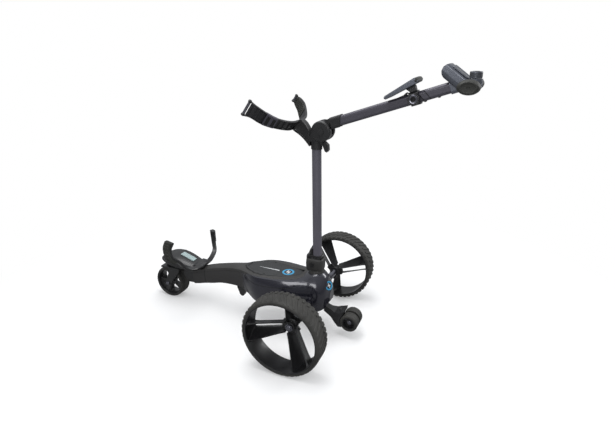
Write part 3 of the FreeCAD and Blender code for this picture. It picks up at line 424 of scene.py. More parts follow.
def blade(centre, side, turn, lean, reach, near, far):
    """One wall of a spoke; the two walls of a spoke open outwards like a trough."""
    foot = (polar_point(centre, 15, turn + lean * 40, side * 206.5),
            polar_point(centre, 24, turn + lean * 50, side * 240))
    tip = (polar_point(centre, reach, turn + lean * 4.5, side * near),
           polar_point(centre, reach, turn + lean * 15.6, side * far))
    stations = ((0.0, 2.6), (0.06, 2.2), (0.14, 1.6), (0.35, 1.25), (0.6, 1.25), (0.84, 1.4), (0.94, 2.2),
                (1.0, 3.6))
    section = ((0.0, -1.3), (0.07, -1.0), (0.93, -1.0), (1.0, -1.7), (1.0, 1.7), (0.93, 1.0), (0.07, 1.0),
               (0.0, 1.3))
    along = around(math.radians(turn))
    rings = []
    for share, half in stations:
        inner = foot[0].lerp(tip[0], share)
        outer = foot[1].lerp(tip[1], share)
        thick = (outer - inner).cross(along).normalized()
        rings.append([inner.lerp(outer, s) + thick * (w * half * MM) for s, w in section])
    return loft(rings)


def spoke_root(centre, turn, reach, ends):
    """Bridge that ties the two walls of a spoke to the hub."""
    along = around(math.radians(turn))
    across = Vector((-along.z, 0, along.x))
    root = [(12, -14), (reach, -15), (reach + 3, -8), (reach + 3, 8), (reach, 15), (12, 14)]
    places = [centre + (along * r + across * w) * MM for r, w in root]
    return prism(rounded([(p.x, p.z) for p in places], 2 * MM, 2), *sorted(y * MM for y in ends))


def make_rim(name, side):
    cad = "rim_" + name
    centre = middle("tyre_" + name)
    axle = Vector((centre.x, 0, centre.z))
    outer = half_size(cad).z
    hub_in, far = sorted(abs(v.y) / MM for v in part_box(cad))
    near = far - RIM_DEPTH
    inner = outer - RIM_WALL
    barrel = [(outer, near), (outer, near + 5), (outer - 1.4, near + 8), (outer - 1.4, far - 8),
              (outer, far - 5), (outer, far), (outer - 4.6, far), (outer - 5.0, far - 2.2),
              (inner, far - 4.5), (inner - 1.2, near + 20), (inner, near + 3), (outer - 4.6, near)]
    hub = [(8.4, 0), (18, 0), (21, 2), (21, 9), (19.6, 11), (19.6, 24), (20.6, 27), (20.6, 31), (19, 33),
           (15.2, 33), (15.2, 17), (8.4, 17)]
    parts = [lathe([(r, side * y) for r, y in barrel], axle, 144),
             lathe([(r, side * (hub_in + y)) for r, y in hub], axle, 64)]
    for turn in (FIRST_SPOKE[side], FIRST_SPOKE[side] + 120, FIRST_SPOKE[side] + 240):
        for lean in (-1, 1):
            parts.append(blade(axle, side, turn, lean, outer - 2.4, near + 2, far - 9))
        for low, high, reach in ((2, 8, 32), (22, 26, 27)):
            parts.append(spoke_root(axle, turn, reach, (side * (hub_in + low), side * (hub_in + high))))
    piece("spoked_rim_" + name, merged(parts), "wheel_" + name, "black_plastic", [cad], bevel=0.4)


for side_name, side_sign in SIDES:
    make_tyre(side_name, side_sign)
    make_rim(side_name, side_sign)


# ---------------- front wheel

FRONT_RIBS = 44


def make_front_tyre():
    centre = middle("front_tyre")
    radius, half = half_size("front_tyre").z, half_size("front_tyre").y
    wall = [(radius - 10, half - 1), (radius - 8.4, half), (radius - 5, half - 0.6),
            (radius - 2.2, half - 3.4), (radius, half - 9), (radius, half - 14),
            (radius - 1.8, half - 14.8), (radius - 1.8, half - 17), (radius, half - 17.8)]
    parts = [lathe([(r, -y) for r, y in wall] + [(r, y) for r, y in reversed(wall)], centre, 110)]
    for i in range(FRONT_RIBS):
        for side in (-1, 1):
            turn = 2 * math.pi * (i + 0.25 * side) / FRONT_RIBS
            rings = []
            for reach, drop, foot in ((half - 15, 0, 2), (half - 8, 0, 3), (half - 2, 3, 6)):
                across = Vector((0, side * reach, 0))
                rings.append([centre + (around(turn + w / radius) * (radius - d) + across) * MM
                              for w, d in ((-2.6, foot), (-2.0, drop), (2.0, drop), (2.6, foot))])
            parts.append(loft(rings))
    piece("ribbed_front_tyre", merged(parts), "front_wheel", "tyre_rubber", ["front_tyre"])


def make_front_rim():
    centre = middle("front_tyre")
    rim, half = half_size("front_rim").z, half_size("front_rim").y
    barrel = [(rim, -half), (rim, half), (rim - 3, half), (rim - 5.4, half - 5), (rim - 6, 13),
              (rim - 6, -13), (rim - 5.4, 5 - half), (rim - 3, -half)]
    hub = [(5.2, -16), (11, -16), (14, -13.5), (15, -9), (15, 9), (14, 13.5), (11, 16), (5.2, 16)]
    parts = [lathe(barrel, centre, 96), lathe(hub, centre, 48)]
    section = ((-1, -0.9), (-0.8, -1), (0.8, -1), (1, -0.9), (1, 0.9), (0.8, 1), (-0.8, 1), (-1, 0.9))
    stations = ((11, 6.5, 12), (20, 4.4, 11), (38, 4.0, 11.5), (49, 5.0, 13), (56, 8.5, 14.5))
    for turn in turns(5):
        along = around(turn)
        across = Vector((-along.z, 0, along.x))
        parts.append(loft([[centre + (along * reach + across * (w * wide) + Vector((0, y * deep, 0))) * MM
                            for w, y in section] for reach, wide, deep in stations]))
    piece("spoked_front_rim", merged(parts), "front_wheel", "black_plastic", ["front_rim"], bevel=0.4)


make_front_tyre()
make_front_rim()


# ---------------- anti-tip roller


def make_roller():
    """Broad roller: shallow tread grooves, rounded shoulders and a deep well round the hub."""
    centre = middle("tip_tyre")
    radius, half = half_size("tip_tyre").z, half_size("tip_tyre").y
    outline = [(radius - 9, 5.2), (radius - 1, 5.2), (radius, 6.2)]
    for start in (13, 24):
        outline += [(radius - d, start + y) for d, y in ((0, 0), (0.9, 0.6), (0.9, 2), (0, 2.6))]
    outline += [(radius, half - 6), (radius - 1.4, half - 2.6), (radius - 4.2, half - 0.6),
                (radius - 6.4, half), (radius - 8.6, half - 0.8), (radius - 9, half - 3)]
    halves = [lathe([(r, side * y) for r, y in outline], centre, 28) for side in (-1, 1)]
    piece("roller_tyre", merged(halves), "anti_tip_wheel", "tyre_rubber", ["tip_tyre"], bevel=0.4, sharp=18)
    bolt = [(0.1, -1.6), (2.4, -1.6), (2.4, 1.0), (1.8, 1.6), (0.1, 1.6)]
    bolts = [lathe(bolt, centre + (around(turn + 0.4) * 15.5 + Vector((0, side * 18.6, 0))) * MM, 12)
             for side in (-1, 1) for turn in turns(3)]
    piece("roller_bolts", merged(bolts), "anti_tip_wheel", "black_plastic", look="dark_chrome")


make_roller()


# ---------------- battery lid and badges

LID_EDGE = ((50, 17), (72, 29), (128, 46), (176, 57), (212, 59.5), (246, 52), (284, 29), (302, 9))
LID_MIDDLE = 176.0


def make_lid():
    """Crowned panel with a smooth egg-shaped edge and a raised band round it."""
    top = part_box("battery_lid")[1].z / MM
    side = curve_points([Vector((x, y, 0)) for x, y in LID_EDGE], 6)
    ring = side + [Vector((p.x, -p.y, 0)) for p in reversed(side)]
    edge = ((-0.6, 13.1), (0.0, 12.0), (0.0, 3.0), (-0.8, 1.3), (-2.4, 0.3), (-4.2, 0.0), (-5.0, 0.8),
            (-6.4, 0.9), (-8.0, 0.45))
    sizes = [(1 + grow / 126, 1 + grow / 60, drop) for grow, drop in edge]
    sizes += [(share * 0.93, share * 0.86, 0.45 * share) for share in (0.7, 0.45, 0.2, 0.04)]
    layers = [[at(LID_MIDDLE + (p.x - LID_MIDDLE) * long, p.y * wide, top - drop) for p in ring]
              for long, wide, drop in sizes]
    piece("battery_lid_panel", loft(layers), "battery", "battery_case", ["battery_lid"], sharp=30)


def make_lid_pockets():
    """Finger pockets in the lid's front end and sides, drawn as flat patches in painted shade."""
    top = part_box("battery_lid")[1].z / MM
    pockets = ((286, 0, 90, 30, 7), (196, 52, 14, 9, 5), (196, -52, -14, 9, 5))
    for index, (x, y, degrees, length, width) in enumerate(pockets):
        c, s = math.cos(math.radians(degrees)), math.sin(math.radians(degrees))
        corners = [(-length / 2, -width / 2), (length / 2, -width / 2), (length / 2, width / 2),
                   (-length / 2, width / 2)]
        spun = [(x + u * c - w * s, y + u * s + w * c) for u, w in rounded(corners, 2.2)]
        pocket = loft([[at(u, w, z) for u, w in spun] for z in (top - 2.0, top + 0.25)])
        # Painted shade where the pocket is.
        piece("lid_pocket_%d" % index, pocket, "battery", "battery_case", look="painted_shade_black")


def ring_band(outer, inner, high):
    """Flat ring about the local Z axis, with its top edges broken; sizes in millimetres."""
    section = ((outer, 0), (outer, high - 0.3), (outer - 0.3, high), (inner + 0.3, high),
               (inner, high - 0.3), (inner, 0))
    return upright_lathe(section, ORIGIN, 64)


def badge(name, place, radius, body, cad):
    """Generic roundel: blue ring, dark field and a white slanting bar."""
    piece(name + "_ring", moved(ring_band(radius, radius * 0.70, 1.5), place), body, "badge_blue", [cad])
    reach = radius * 0.72 * MM
    field = [(reach * math.cos(turn), reach * math.sin(turn)) for turn in turns(48)]
    piece(name + "_field", moved(plate(field, 0.0, 0.9 * MM), place), body, "body_gloss")
    slash = [(-0.42, -0.12), (-0.1, 0.5), (0.12, 0.5), (-0.06, 0.1), (0.42, 0.12), (0.1, -0.5),
             (-0.12, -0.5), (0.06, -0.1)]
    corners = rounded([(x * radius * MM, y * radius * MM) for x, y in slash], radius * 0.05 * MM, 2)
    mark = moved(plate(corners, 0.8 * MM, 1.5 * MM), place)
    piece(name + "_mark", mark, body, "label_grey", look="mark_white")


def make_badges():
    """Roundels on the lid and the rear of the body, and the tapered stripe that leads up to the first."""
    seat, top = middle("battery_badge"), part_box("battery_badge")[1].z / MM
    seat.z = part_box("battery_badge")[0].z
    lid_place = sheet_frame(seat, Vector((1, 0.3, 0)), Vector((0, 0, 1)))
    badge("lid_badge", lid_place, half_size("battery_badge").x, "battery", "battery_badge")
    stripe = [(150 + 11 * i, 7.5 - 0.3125 * i, 3.0 - 0.3 * i) for i in range(9)]
    edge = [(x, y + w) for x, y, w in stripe] + [(x, y - w) for x, y, w in reversed(stripe)]
    stripe_part = loft([[at(x, y, z) for x, y in edge] for z in (top - 2.4, top - 0.5)])
    piece("lid_stripe", stripe_part, "battery", "label_grey", look="mark_white")
    normal = Vector((-0.86, 0.36, 0.36)).normalized()
    rear_seat = at(-55, 11, 201) + normal * 4.6 * MM
    badge("rear_roundel", sheet_frame(rear_seat, Vector((0, 1, 0.2)), normal), 17, "chassis", "rear_badge")


make_lid()
make_lid_pockets()
make_badges()


# ---------------- yoke

TILT = math.radians(36)
YOKE_BASE = (60, 812)
PATH_STEPS = 8

# Arms of the yoke as (left, forward, along the bag, half width), millimetres.
YOKE = {
    1: ((0, -6, -15, 16), (42, -4, -15, 17), (84, 7, -13, 17), (118, 29, -14, 18), (148, 58, -12, 21),
        (166, 88, -9, 22), (172, 105, -11, 26)),
    -1: ((0, -6, -15, 16), (42, -4, -16, 17), (84, 7, -19, 18), (118, 29, -18, 21), (146, 56, -13, 21),
         (164, 82, -12, 18), (169, 96, -11, 13)),
}


def bag_point(forward, left, along):
    """Point in the bag's own frame, whose axis leans back from the trolley."""
    return at(YOKE_BASE[0] + math.cos(TILT) * forward - math.sin(TILT) * along, left,
              YOKE_BASE[1] + math.sin(TILT) * forward + math.cos(TILT) * along)


def arm_rings(side, outline, start, stop):
    """Rings along one yoke arm; outline(half) gives (across, outward) pairs in millimetres."""
    path = curve_points([Vector(p) for p in YOKE[side]], PATH_STEPS)
    rings = []
    for i in range(start, stop + 1):
        before, after = path[max(i - 1, 0)], path[min(i + 1, len(path) - 1)]
        run = Vector((after[1] - before[1], after[0] - before[0])).normalized()
        left, forward, along, half = path[i]
        rings.append([bag_point(forward - run.y * v, side * (left + run.x * v), along + u)
                      for u, v in outline(half)])
    return rings


def channel(half):
    """U-shaped section, open away from the bag, with rolled edges."""
    edge = [(half, -4.4), (half + 0.3, -2), (half + 0.3, 3.6), (half - 1.2, 4.5), (half - 2.8, 3.8),
            (half - 3.6, -0.6)]
    return [(-half, -4.4)] + edge + [(0, -1.2)] + [(-u, v) for u, v in reversed(edge[1:])]


def bar_across(half):
    return [(-half + 2.6, -2.5), (half - 2.6, -2.5), (half - 2.9, 2.4), (-half + 2.9, 2.4)]


def sleeve(half):
    return [(-half - 0.8, -5.2), (half + 0.8, -5.2), (half + 1.4, 0), (half + 0.8, 5.4), (half - 3, 6.4),
            (-half + 3, 6.4), (-half - 0.8, 5.4), (-half - 1.4, 0)]


def pad_section(half):
    return [(-half + 2, -4.0), (half - 2, -4.0), (half - 1.4, -6.4), (half - 4, -8.6), (-half + 4, -8.6),
            (-half + 1.4, -6.4)]


def pad_strip(half):
    return [(-half + 3, -4.2), (half - 3, -4.2), (half - 3, -6.6), (-half + 3, -6.6)]


def sleeve_window(half):
    return [(-half + 5, 5.6), (half - 5, 5.6), (half - 5, 6.9), (-half + 5, 6.9)]


def yoke_neck():
    """Broad web between the arms and the stem, with a raised edge all round."""
    neck = [(13, 722), (23, 736), (37, 751), (53, 764), (75, 777), (80, 789), (62, 804), (45, 817),
            (30, 806), (20, 792), (13, 779)]
    edge = rounded([(p.x, p.z) for p in (at(x, 0, z) for x, z in neck)], 8 * MM, 5)
    middle_x = sum(p[0] for p in edge) / len(edge)
    middle_z = sum(p[1] for p in edge) / len(edge)
    side = ((-6.5, 0.72), (-7.5, 0.80), (-12.0, 0.84), (-12.8, 0.90), (-12.0, 1.0))
    return loft([[Vector((middle_x + (x - middle_x) * shrink, y * MM, middle_z + (z - middle_z) * shrink))
                  for x, z in edge]
                 for y, shrink in side + tuple((-y, shrink) for y, shrink in reversed(side))])


def make_yoke():
    arms = [loft(arm_rings(side, channel, 0, 48)) for side in YOKE]
    for side, places in ((1, (6, 11, 16, 20, 44)), (-1, (8, 14, 20, 26, 32, 38, 44))):
        for place in places:
            near, far = arm_rings(side, bar_across, place, place + 1)
            arms.append(loft([near, [p.lerp(q, 0.35) for p, q in zip(near, far)]]))
    arms.append(yoke_neck())
    piece("yoke_channel", merged(arms), "stem", "black_plastic", ["bag_yoke"], bevel=0.5)
    collar = loft(arm_rings(1, sleeve, 23, 31))
    piece("yoke_sleeve", collar, "stem", "black_plastic", look="tube_paint", bevel=0.8)
    # Slots in the sleeve, drawn as dark patches in painted shade.
    windows = [loft(arm_rings(1, sleeve_window, first, first + 2)) for first in (24, 28)]
    piece("yoke_sleeve_slot_shade", merged(windows), "stem", "black_plastic", look="painted_shade_black")


def make_yoke_pads():
    pads = []
    for side in YOKE:
        for place in range(26, 46, 2):
            pads.append(loft(arm_rings(side, pad_section, place, place + 1)))
        pads.append(loft(arm_rings(side, pad_strip, 24, 46)))
    piece("yoke_ribbed_pads", merged(pads), "stem", "soft_rubber", ["yoke_pads"], bevel=0.4)


def band(half):
    return [(-half + 4.5, 1.0), (half - 4.5, 1.0), (half - 4.5, 4.6), (-half + 4.5, 4.6)]


def buckle(half):
    return [(-half + 3.2, 3.8), (half - 3.2, 3.8), (half - 3.8, 7.0), (-half + 3.8, 7.0)]


def make_strap():
    """Rubber strap folded back over the left arm, with a raised buckle and studs."""
    parts = [loft(arm_rings(1, band, 32, 47))]
    for first, last in ((33, 34), (36, 37), (39, 42), (44, 45)):
        parts.append(loft(arm_rings(1, buckle, first, last)))
    piece("yoke_elastic", merged(parts), "stem", "strap_web", ["yoke_strap"], bevel=0.5)


def make_hook_bars():
    """Metal bar across each arm's tip, with a moulded nub at both ends."""
    bars, nubs = [], []
    for side, path in YOKE.items():
        left, forward, along, half = path[-1]
        low = bag_point(forward + 6.5, side * (left + 1), along - half - 1)
        high = bag_point(forward + 6.5, side * (left + 1), along + half + 1)
        seat = sheet_frame(low, Vector((0, 1, 0)), high - low)
        length = (high - low).length / MM
        bar = [(0.1, 0), (4.0, 0), (4.6, 3), (4.6, length - 3), (4.0, length), (0.1, length)]
        bars.append(moved(upright_lathe(bar, ORIGIN, 24), seat))
        for start in (-2.0, length - 6.0):
            nub = [(r, start + z) for r, z in ((0.1, 0), (4.6, 0), (6.4, 2), (6.4, 6), (4.6, 8), (0.1, 8))]
            nubs.append(moved(upright_lathe(nub, ORIGIN, 24), seat))
    piece("hook_bars", merged(bars), "stem", "black_plastic", ["yoke_hook_bars"], look="dark_chrome")
    piece("hook_nubs", merged(nubs), "stem", "black_plastic", bevel=0.4)


make_yoke()
make_yoke_pads()
make_strap()
make_hook_bars()


# ---------------- cradle and dome

CRADLE_ROOT = ((508, 0, 187), (514, 44, 184), (527, 96, 200))
CRADLE = {
    1: CRADLE_ROOT + ((547, 124, 242), (561, 147, 270), (569, 147, 304), (561, 139, 332)),
    -1: CRADLE_ROOT + ((539, 113, 228), (544, 118, 256), (544, 117, 284)),
}
# Half width of each arm's tip.
REACH = {1: 18, -1: 11}
CRADLE_STEPS = 6


def last_ring(side):
    return CRADLE_STEPS * (len(CRADLE[side]) - 1)


def cradle_rings(side, first, last, section):
    """Rings along one cradle arm; section(share) gives (across, towards the bag) pairs in millimetres."""
    path = curve_points([Vector(p) for p in CRADLE[side]], CRADLE_STEPS)
    wide = Vector((1, 0, 0.25)).normalized()
    rings = []
    for i in range(first, min(last, len(path) - 1) + 1):
        share = i / (len(path) - 1)
        run = path[min(i + 1, len(path) - 1)] - path[max(i - 1, 0)]
        inward = run.cross(wide).normalized()
        ring = []
        for u, v in section(share, REACH[side]):
            p = path[i] + wide * u + inward * v
            ring.append(at(p.x, side * p.y, p.z))
        rings.append(ring)
    return rings


def arm_section(share, reach):
    half = 10 + (reach - 10) * share
    swell = 6.5 - 0.5 * math.sin(math.pi * share)
    section = ((-1, -0.4), (-0.75, -0.95), (0.75, -0.95), (1, -0.4), (1, 0.4), (0.75, 0.95), (-0.75, 0.95),
               (-1, 0.4))
    return [(half * a, swell * b) for a, b in section]


def pad_ring(share, reach):
    half = 8 + (reach - 10) * share
    top = 5 + reach * 0.62
    return [(-half, 5.0), (half, 5.0), (half, top - 2), (half - 2, top), (-half + 2, top), (-half, top - 2)]


def rib_ring(share, reach):
    half = 6 + (reach - 10) * share
    top = 5 + reach * 0.75
    return [(-half, 8.0), (half, 8.0), (half - 1, top), (-half + 1, top)]


# Dome stations as (x, half width, crown, brim).
DOME = ((528, 18, 177, 166), (538, 36, 181.5, 164), (552, 44, 186, 162), (572, 50.5, 193, 164.5),
        (596, 56, 201.5, 168), (620, 59.5, 208.8, 171.5), (645, 60.5, 213.4, 176.5), (668, 58, 212.6, 181.5),
        (688, 52.5, 208.8, 186), (704, 43, 202.6, 189), (714, 30, 195.5, 190), (719, 14, 191.6, 190.4))


def dome_shell():
    """Smooth shell over the caster, hollow from below."""
    rings = []
    fan = [math.pi * (i / 24 - 0.5) for i in range(25)]
    for x, half, crown, brim in DOME:
        lift = max(crown - brim - 6.0, 0.5) * 0.9
        outside, inside = [], []
        for turn in fan:
            across = math.copysign(abs(math.sin(turn)) ** 0.85, turn)
            arch = math.cos(turn) ** 0.62
            outside.append(at(x, half * across, brim + (crown - brim) * arch))
            inside.append(at(x, (half - 3.5) * across, brim + 0.6 + lift * arch))
        rings.append(outside + inside[::-1])
    return loft(rings)


def cradle_block():
    """Rounded block at the bend of the left arm."""
    lump = [(0.1, -17), (8, -16.5), (12, -13), (13.5, -6), (13.5, 6), (12, 13), (8, 16.5), (0.1, 17)]
    seat = sheet_frame(at(575, 143, 262), Vector((0, 0, 1)), Vector((1, 0, 0.2)))
    return moved(upright_lathe(lump, ORIGIN, 32), seat)


def make_cradle():
    parts = [dome_shell()]
    for side in CRADLE:
        parts.append(loft(cradle_rings(side, 0, last_ring(side), arm_section)))
    parts.append(cradle_block())
    root = [(506, 175, 30), (508, 184, 30), (524, 186, 34), (545, 186, 36), (552, 182, 34), (536, 175, 32)]
    parts.append(loft([[at(x, side * w, z) for x, z, w in root] for side in (-1, 1)]))
    piece("cradle_shell", merged(parts), "chassis", "black_plastic", ["bag_base"], bevel=0.8, sharp=50)
    pads = []
    for side in CRADLE:
        pads.append(loft(cradle_rings(side, 20, last_ring(side), pad_ring)))
        for place in range(21, last_ring(side), 2):
            pads.append(loft(cradle_rings(side, place, place + 1, rib_ring)))
    piece("cradle_ribbed_pads", merged(pads), "chassis", "soft_rubber", ["bag_base_pads"], bevel=0.4)


make_cradle()


# ---------------- hosel and stem foot

CUP_WALL = 16.6
CUP_MOUTH = 31


def cup_ring(z, shrink):
    """Section of the cup at height z: two cheeks and a rear wall round the stem's foot, open ahead."""
    outer = [(31, 17.2), (29, 22.5), (22, 24.5), (0, 24.5), (-20, 24.5), (-30, 20.5), (-35, 12), (-36, 0)]
    inner = [(-30.4, 0), (-30.4, 12), (-28, 16.4), (0, 16.4), (31, 16.4)]
    half = []
    for x, y in outer:
        ahead = x - (1 - shrink) * 30 if x == CUP_MOUTH else x * shrink
        half.append((ahead, CUP_WALL + (y - CUP_WALL) * shrink ** 3 if y > CUP_WALL else y))
    rear, mouth = half[-1][0], half[0][0]
    hollow = [(max(x, rear + 2.5), y) if x < 0 else (mouth, y) for x, y in inner]
    right = [(x, -y) for x, y in reversed(half[:-1])]
    hollow_right = [(x, -y) for x, y in reversed(hollow[1:])]
    return [at(x, y, z) for x, y in half + right + hollow_right + hollow]


def ribs(heights, outline, thick):
    return [loft([[at(x, y, up) for x, y in outline] for up in (z, z + thick)]) for z in heights]


def make_hosel():
    collar = [(8, 202), (29, 202), (30, 203.5), (30, 226), (29.2, 227), (29.2, 229.5), (30, 230.5),
              (30, 254), (28.5, 257.5), (8, 257.5)]
    heights = ((255, 0.86), (262, 0.94), (270, 0.99), (280, 1.0), (291, 1.0), (298, 0.975), (302, 0.93),
               (304, 0.86))
    cup = loft([cup_ring(z, shrink) for z, shrink in heights])
    parts = [upright_lathe(collar, at(-4, 0, 0), 72), cup]
    piece("hosel_cup", merged(parts), "chassis", "body_matt", ["hosel"], bevel=0.6, sharp=42)
    foot = ribs((317, 322, 327, 332), ((10, -8.4), (18.2, -7.8), (18.2, 7.8), (10, 8.4)), 2.2)
    piece("stem_foot_ribs", merged(foot), "stem", "black_plastic", bevel=0.5)
    lever = ribs((288, 293, 298, 303), ((29, -9.4), (33.2, -8.4), (33.2, 8.4), (29, 9.4)), 2.4)
    piece("stem_latch_ribs", merged(lever), "stem_latch", "black_plastic", bevel=0.5)


make_hosel()


# ---------------- seams on the body, as strips in painted shadow


def skin_tree():
    """Search tree over the body's outer panels."""
    points, faces = [], []
    for name in ("body_shell", "deck_cover"):
        shown = frame["nodes"][name]
        base = len(points)
        points.extend([shown.matrix_world @ v.co for v in shown.data.vertices])
        faces.extend([[base + i for i in p.vertices] for p in shown.data.polygons])
    return BVHTree.FromPolygons(points, faces)


SKIN = skin_tree()


def seam(name, path, width, side):
    """Thin strip in painted shadow that follows a seam on the body's side through (x, z) places."""
    spots = []
    for p in curve_points([Vector((x, 0, z)) for x, z in path], 6):
        hit, normal, _, _ = SKIN.ray_cast(at(p.x, side * 200, p.z), Vector((0, -side, 0)))
        if hit is not None:
            spots.append((hit, normal))
    rings = []
    for i, (hit, normal) in enumerate(spots):
        ahead = (spots[min(i + 1, len(spots) - 1)][0] - spots[max(i - 1, 0)][0]).normalized()
        across = normal.cross(ahead).normalized() * (width / 2 * MM)
        root, crest = hit - normal * 1.2 * MM, hit + normal * 0.35 * MM
        rings.append([root - across, root + across, crest + across * 0.8, crest - across * 0.8])
    piece(name, loft(rings), "chassis", "body_matt", look="painted_shade_black")


# Seam lines on the body, each drawn as a thin strip in painted shadow.
SEAMS = (("panel_seam_shadow_", ((294, 190), (294, 178), (290, 160), (280, 142), (268, 130)), 2.2),
         ("side_seam_shadow_", ((286, 196), (240, 192), (180, 190), (110, 194), (60, 200)), 2.0),
         ("beam_joint_shadow_", ((497, 172), (498, 150), (498, 126), (497, 112)), 2.0))
for side_name, side_sign in SIDES:
    for seam_name, seam_path, seam_width in SEAMS:
        seam(seam_name + side_name, seam_path, seam_width, side_sign)


# ---------------- grips, console and handle

BAR_RADIUS = 13.2
GRIP_DEEP = 32
GRIP_HIGH = 21
HANDLE_RISE = math.radians(18.3)
POD_PLACE = Vector((434, 0, 65))
POD_TILT = math.radians(55.3)


def make_grips():
    """Bulbous oval rubber ends on the T-bar, with a shallow dish and a vent in each outer face."""
    bar, seat = middle("t_bar"), at(-487, 0, 935)
    # Shares of the oval's size and places along the bar, between the two ends of the bore.
    skin = [(0.62, 40), (0.72, 42), (0.84, 47), (0.94, 54), (0.99, 62), (1.0, 70), (0.985, 78), (0.93, 84),
            (0.84, 89), (0.76, 91.5), (0.68, 92), (0.58, 90.6), (0.30, 89.8), (0.16, 89.6), (0.12, 88.6),
            (0.0, 88.6), (0.0, 88.3)]
    parts = []
    for _, side in SIDES:
        rings = []
        for turn in turns(72):
            bore = [bar + (around(turn) * BAR_RADIUS + Vector((0, side * y, 0))) * MM for y in (40, 88.3)]
            oval = Vector((GRIP_DEEP * math.cos(turn), 0, GRIP_HIGH * math.sin(turn)))
            ring = [seat + (oval * share + Vector((0, side * y, 0))) * MM for share, y in skin]
            rings.append(bore[:1] + ring + bore[1:])
        parts.append(loft(rings, loop=True))
    piece("moulded_grips", merged(parts), "handle", "soft_rubber", ["grips"])


make_grips()


def handle_matrix():
    """Matrix of the handle's own frame: X up the handle, Z square to it and up."""
    x = Vector((-math.cos(HANDLE_RISE), 0, math.sin(HANDLE_RISE)))
    z = Vector((math.sin(HANDLE_RISE), 0, math.cos(HANDLE_RISE)))
    matrix = Matrix((x, Vector((0, -1, 0)), z)).transposed().to_4x4()
    matrix.translation = at(-32, 0, 780)
    return matrix


HANDLE = handle_matrix()


def make_screen_rim():
    """Raised rim round the screen, in the frame of the tilted console."""
    turn = Matrix.Translation(POD_PLACE * MM) @ Matrix.Rotation(POD_TILT, 4, "Y")
    outer = rounded([(3, -36), (62, -36), (62, 36), (3, 36)], 10, 5)
    inner = rounded([(11, -29), (56, -29), (56, 29), (11, 29)], 5, 5)
    rings = []
    for o, i in zip(outer, inner):
        section = ((o, 15.0), (o, 17.2), (o * 0.8 + i * 0.2, 18.6), (i, 16.6), (i, 15.0))
        rings.append([Vector((p.x, p.y, z)) * MM for p, z in section])
    piece("screen_rim", moved(loft(rings, loop=True), HANDLE @ turn), "handle", "silver_plastic", bevel=0.3)


def make_dial_knurls():
    low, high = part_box("speed_dial")
    centre = (low + high) / 2
    radius = (high.x - low.x) / 2 / MM
    ends = [Vector((0, 0, z)) for z in (low.z + 6 * MM, high.z - 3 * MM)]
    knurls = []
    for turn in turns(30):
        along = Vector((math.cos(turn), math.sin(turn), 0))
        across = Vector((-along.y, along.x, 0))
        spot = Vector((centre.x, centre.y, 0)) + along * (radius - 0.6) * MM
        ring = [spot + (along * out + across * aside) * MM
                for out, aside in ((0, -1.1), (0.9, -0.6), (0.9, 0.6), (0, 1.1))]
        knurls.append(loft([[p + end for p in ring] for end in ends]))
    piece("dial_knurls", merged(knurls), "speed_dial", "silver_plastic", look="soft_rubber")


def handle_prism(outline, low, high):
    """Prism over (x, z) in the handle's own frame, millimetres."""
    return moved(prism([(x * MM, z * MM) for x, z in outline], low * MM, high * MM), HANDLE)


def make_handle_trim():
    """Clips under the handle tube and on the clamp, and slanted seam lines on the tube's sides in painted
    shadow.
    """
    clips = [handle_prism([(344, -1.2), (352, -1.2), (350, -4.2), (346, -4.2)], -8, 8),
             handle_prism([(386, -1.2), (394, -1.2), (392, -4.0), (388, -4.0)], -8, 8),
             handle_prism([(262, 31.0), (296, 31.0), (304, 35.2), (300, 39.0), (290, 34.0)], -9, 9)]
    piece("handle_clips", merged(clips), "handle", "black_plastic", bevel=0.4)
    seams = []
    # Slanted seam lines, as thin strips in painted shadow.
    for x in (366, 346):
        slant = [(x, 0.4), (x + 2.4, 0.4), (x - 12, 30.0), (x - 14.4, 30.0)]
        seams += [handle_prism(slant, side * 13.6, side * 14.35) for side in (-1, 1)]
    piece("handle_seam_shadows", merged(seams), "handle", "tube_paint", look="painted_shade_black")


def make_knob():
    """Scalloped clamp knob with a bright ring round its hollow centre, whose floor is in painted shade."""
    low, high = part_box("clamp_knob")
    face = max(low.y, high.y, key=abs) / MM
    side = math.copysign(1, face)
    centre = Vector(((low.x + high.x) / 2, 0, (low.z + high.z) / 2))
    section = [(8.0, 0.0), (13.4, 0.0), (13.4, 1.0), (12.2, 1.9), (9.4, 1.9), (8.0, 1.0)]
    ring = lathe([(r, face + side * (y - 1.0)) for r, y in section], centre, 48)
    piece("knob_ring", ring, "clamp_knob", "black_plastic", look="dark_chrome")
    # Floor of the hollow, in painted shade.
    floor = ((0.1, 4.9), (6.9, 4.9), (6.9, 4.2), (0.1, 4.2))
    well = lathe([(r, face - side * y) for r, y in floor], centre, 32)
    piece("knob_well_shade", well, "clamp_knob", "black_plastic", look="painted_shade_black")
    scallops = []
    ends = [Vector((0, (face + side * y) * MM, 0)) for y in (-4.0, 0.7)]
    for turn in turns(18):
        along = around(turn)
        across = Vector((-along.z, 0, along.x))
        corners = [centre + (along * out + across * aside) * MM
                   for out, aside in ((14.4, -0.9), (17.0, -0.7), (17.0, 0.7), (14.4, 0.9))]
        scallops.append(loft([[p + end for p in corners] for end in ends]))
    piece("knob_ribs", merged(scallops), "clamp_knob", "black_plastic")


def make_card_nose():
    """Soft dark nose along the high edge of the card holder."""
    centre = Vector((342, 0, 64.2))
    rings = []
    for y, grow in ((-42, 0.55), (-41, 0.9), (-38, 1.0), (38, 1.0), (41, 0.9), (42, 0.55)):
        rings.append([(centre + Vector((6.6 * grow * math.cos(turn), y, 8.2 * grow * math.sin(turn)))) * MM
                      for turn in turns(16)])
    piece("card_holder_nose", moved(loft(rings), HANDLE), "handle", "soft_rubber")


make_screen_rim()
make_dial_knurls()
make_handle_trim()
make_knob()
make_card_nose()


# ---------------- stage, light, camera


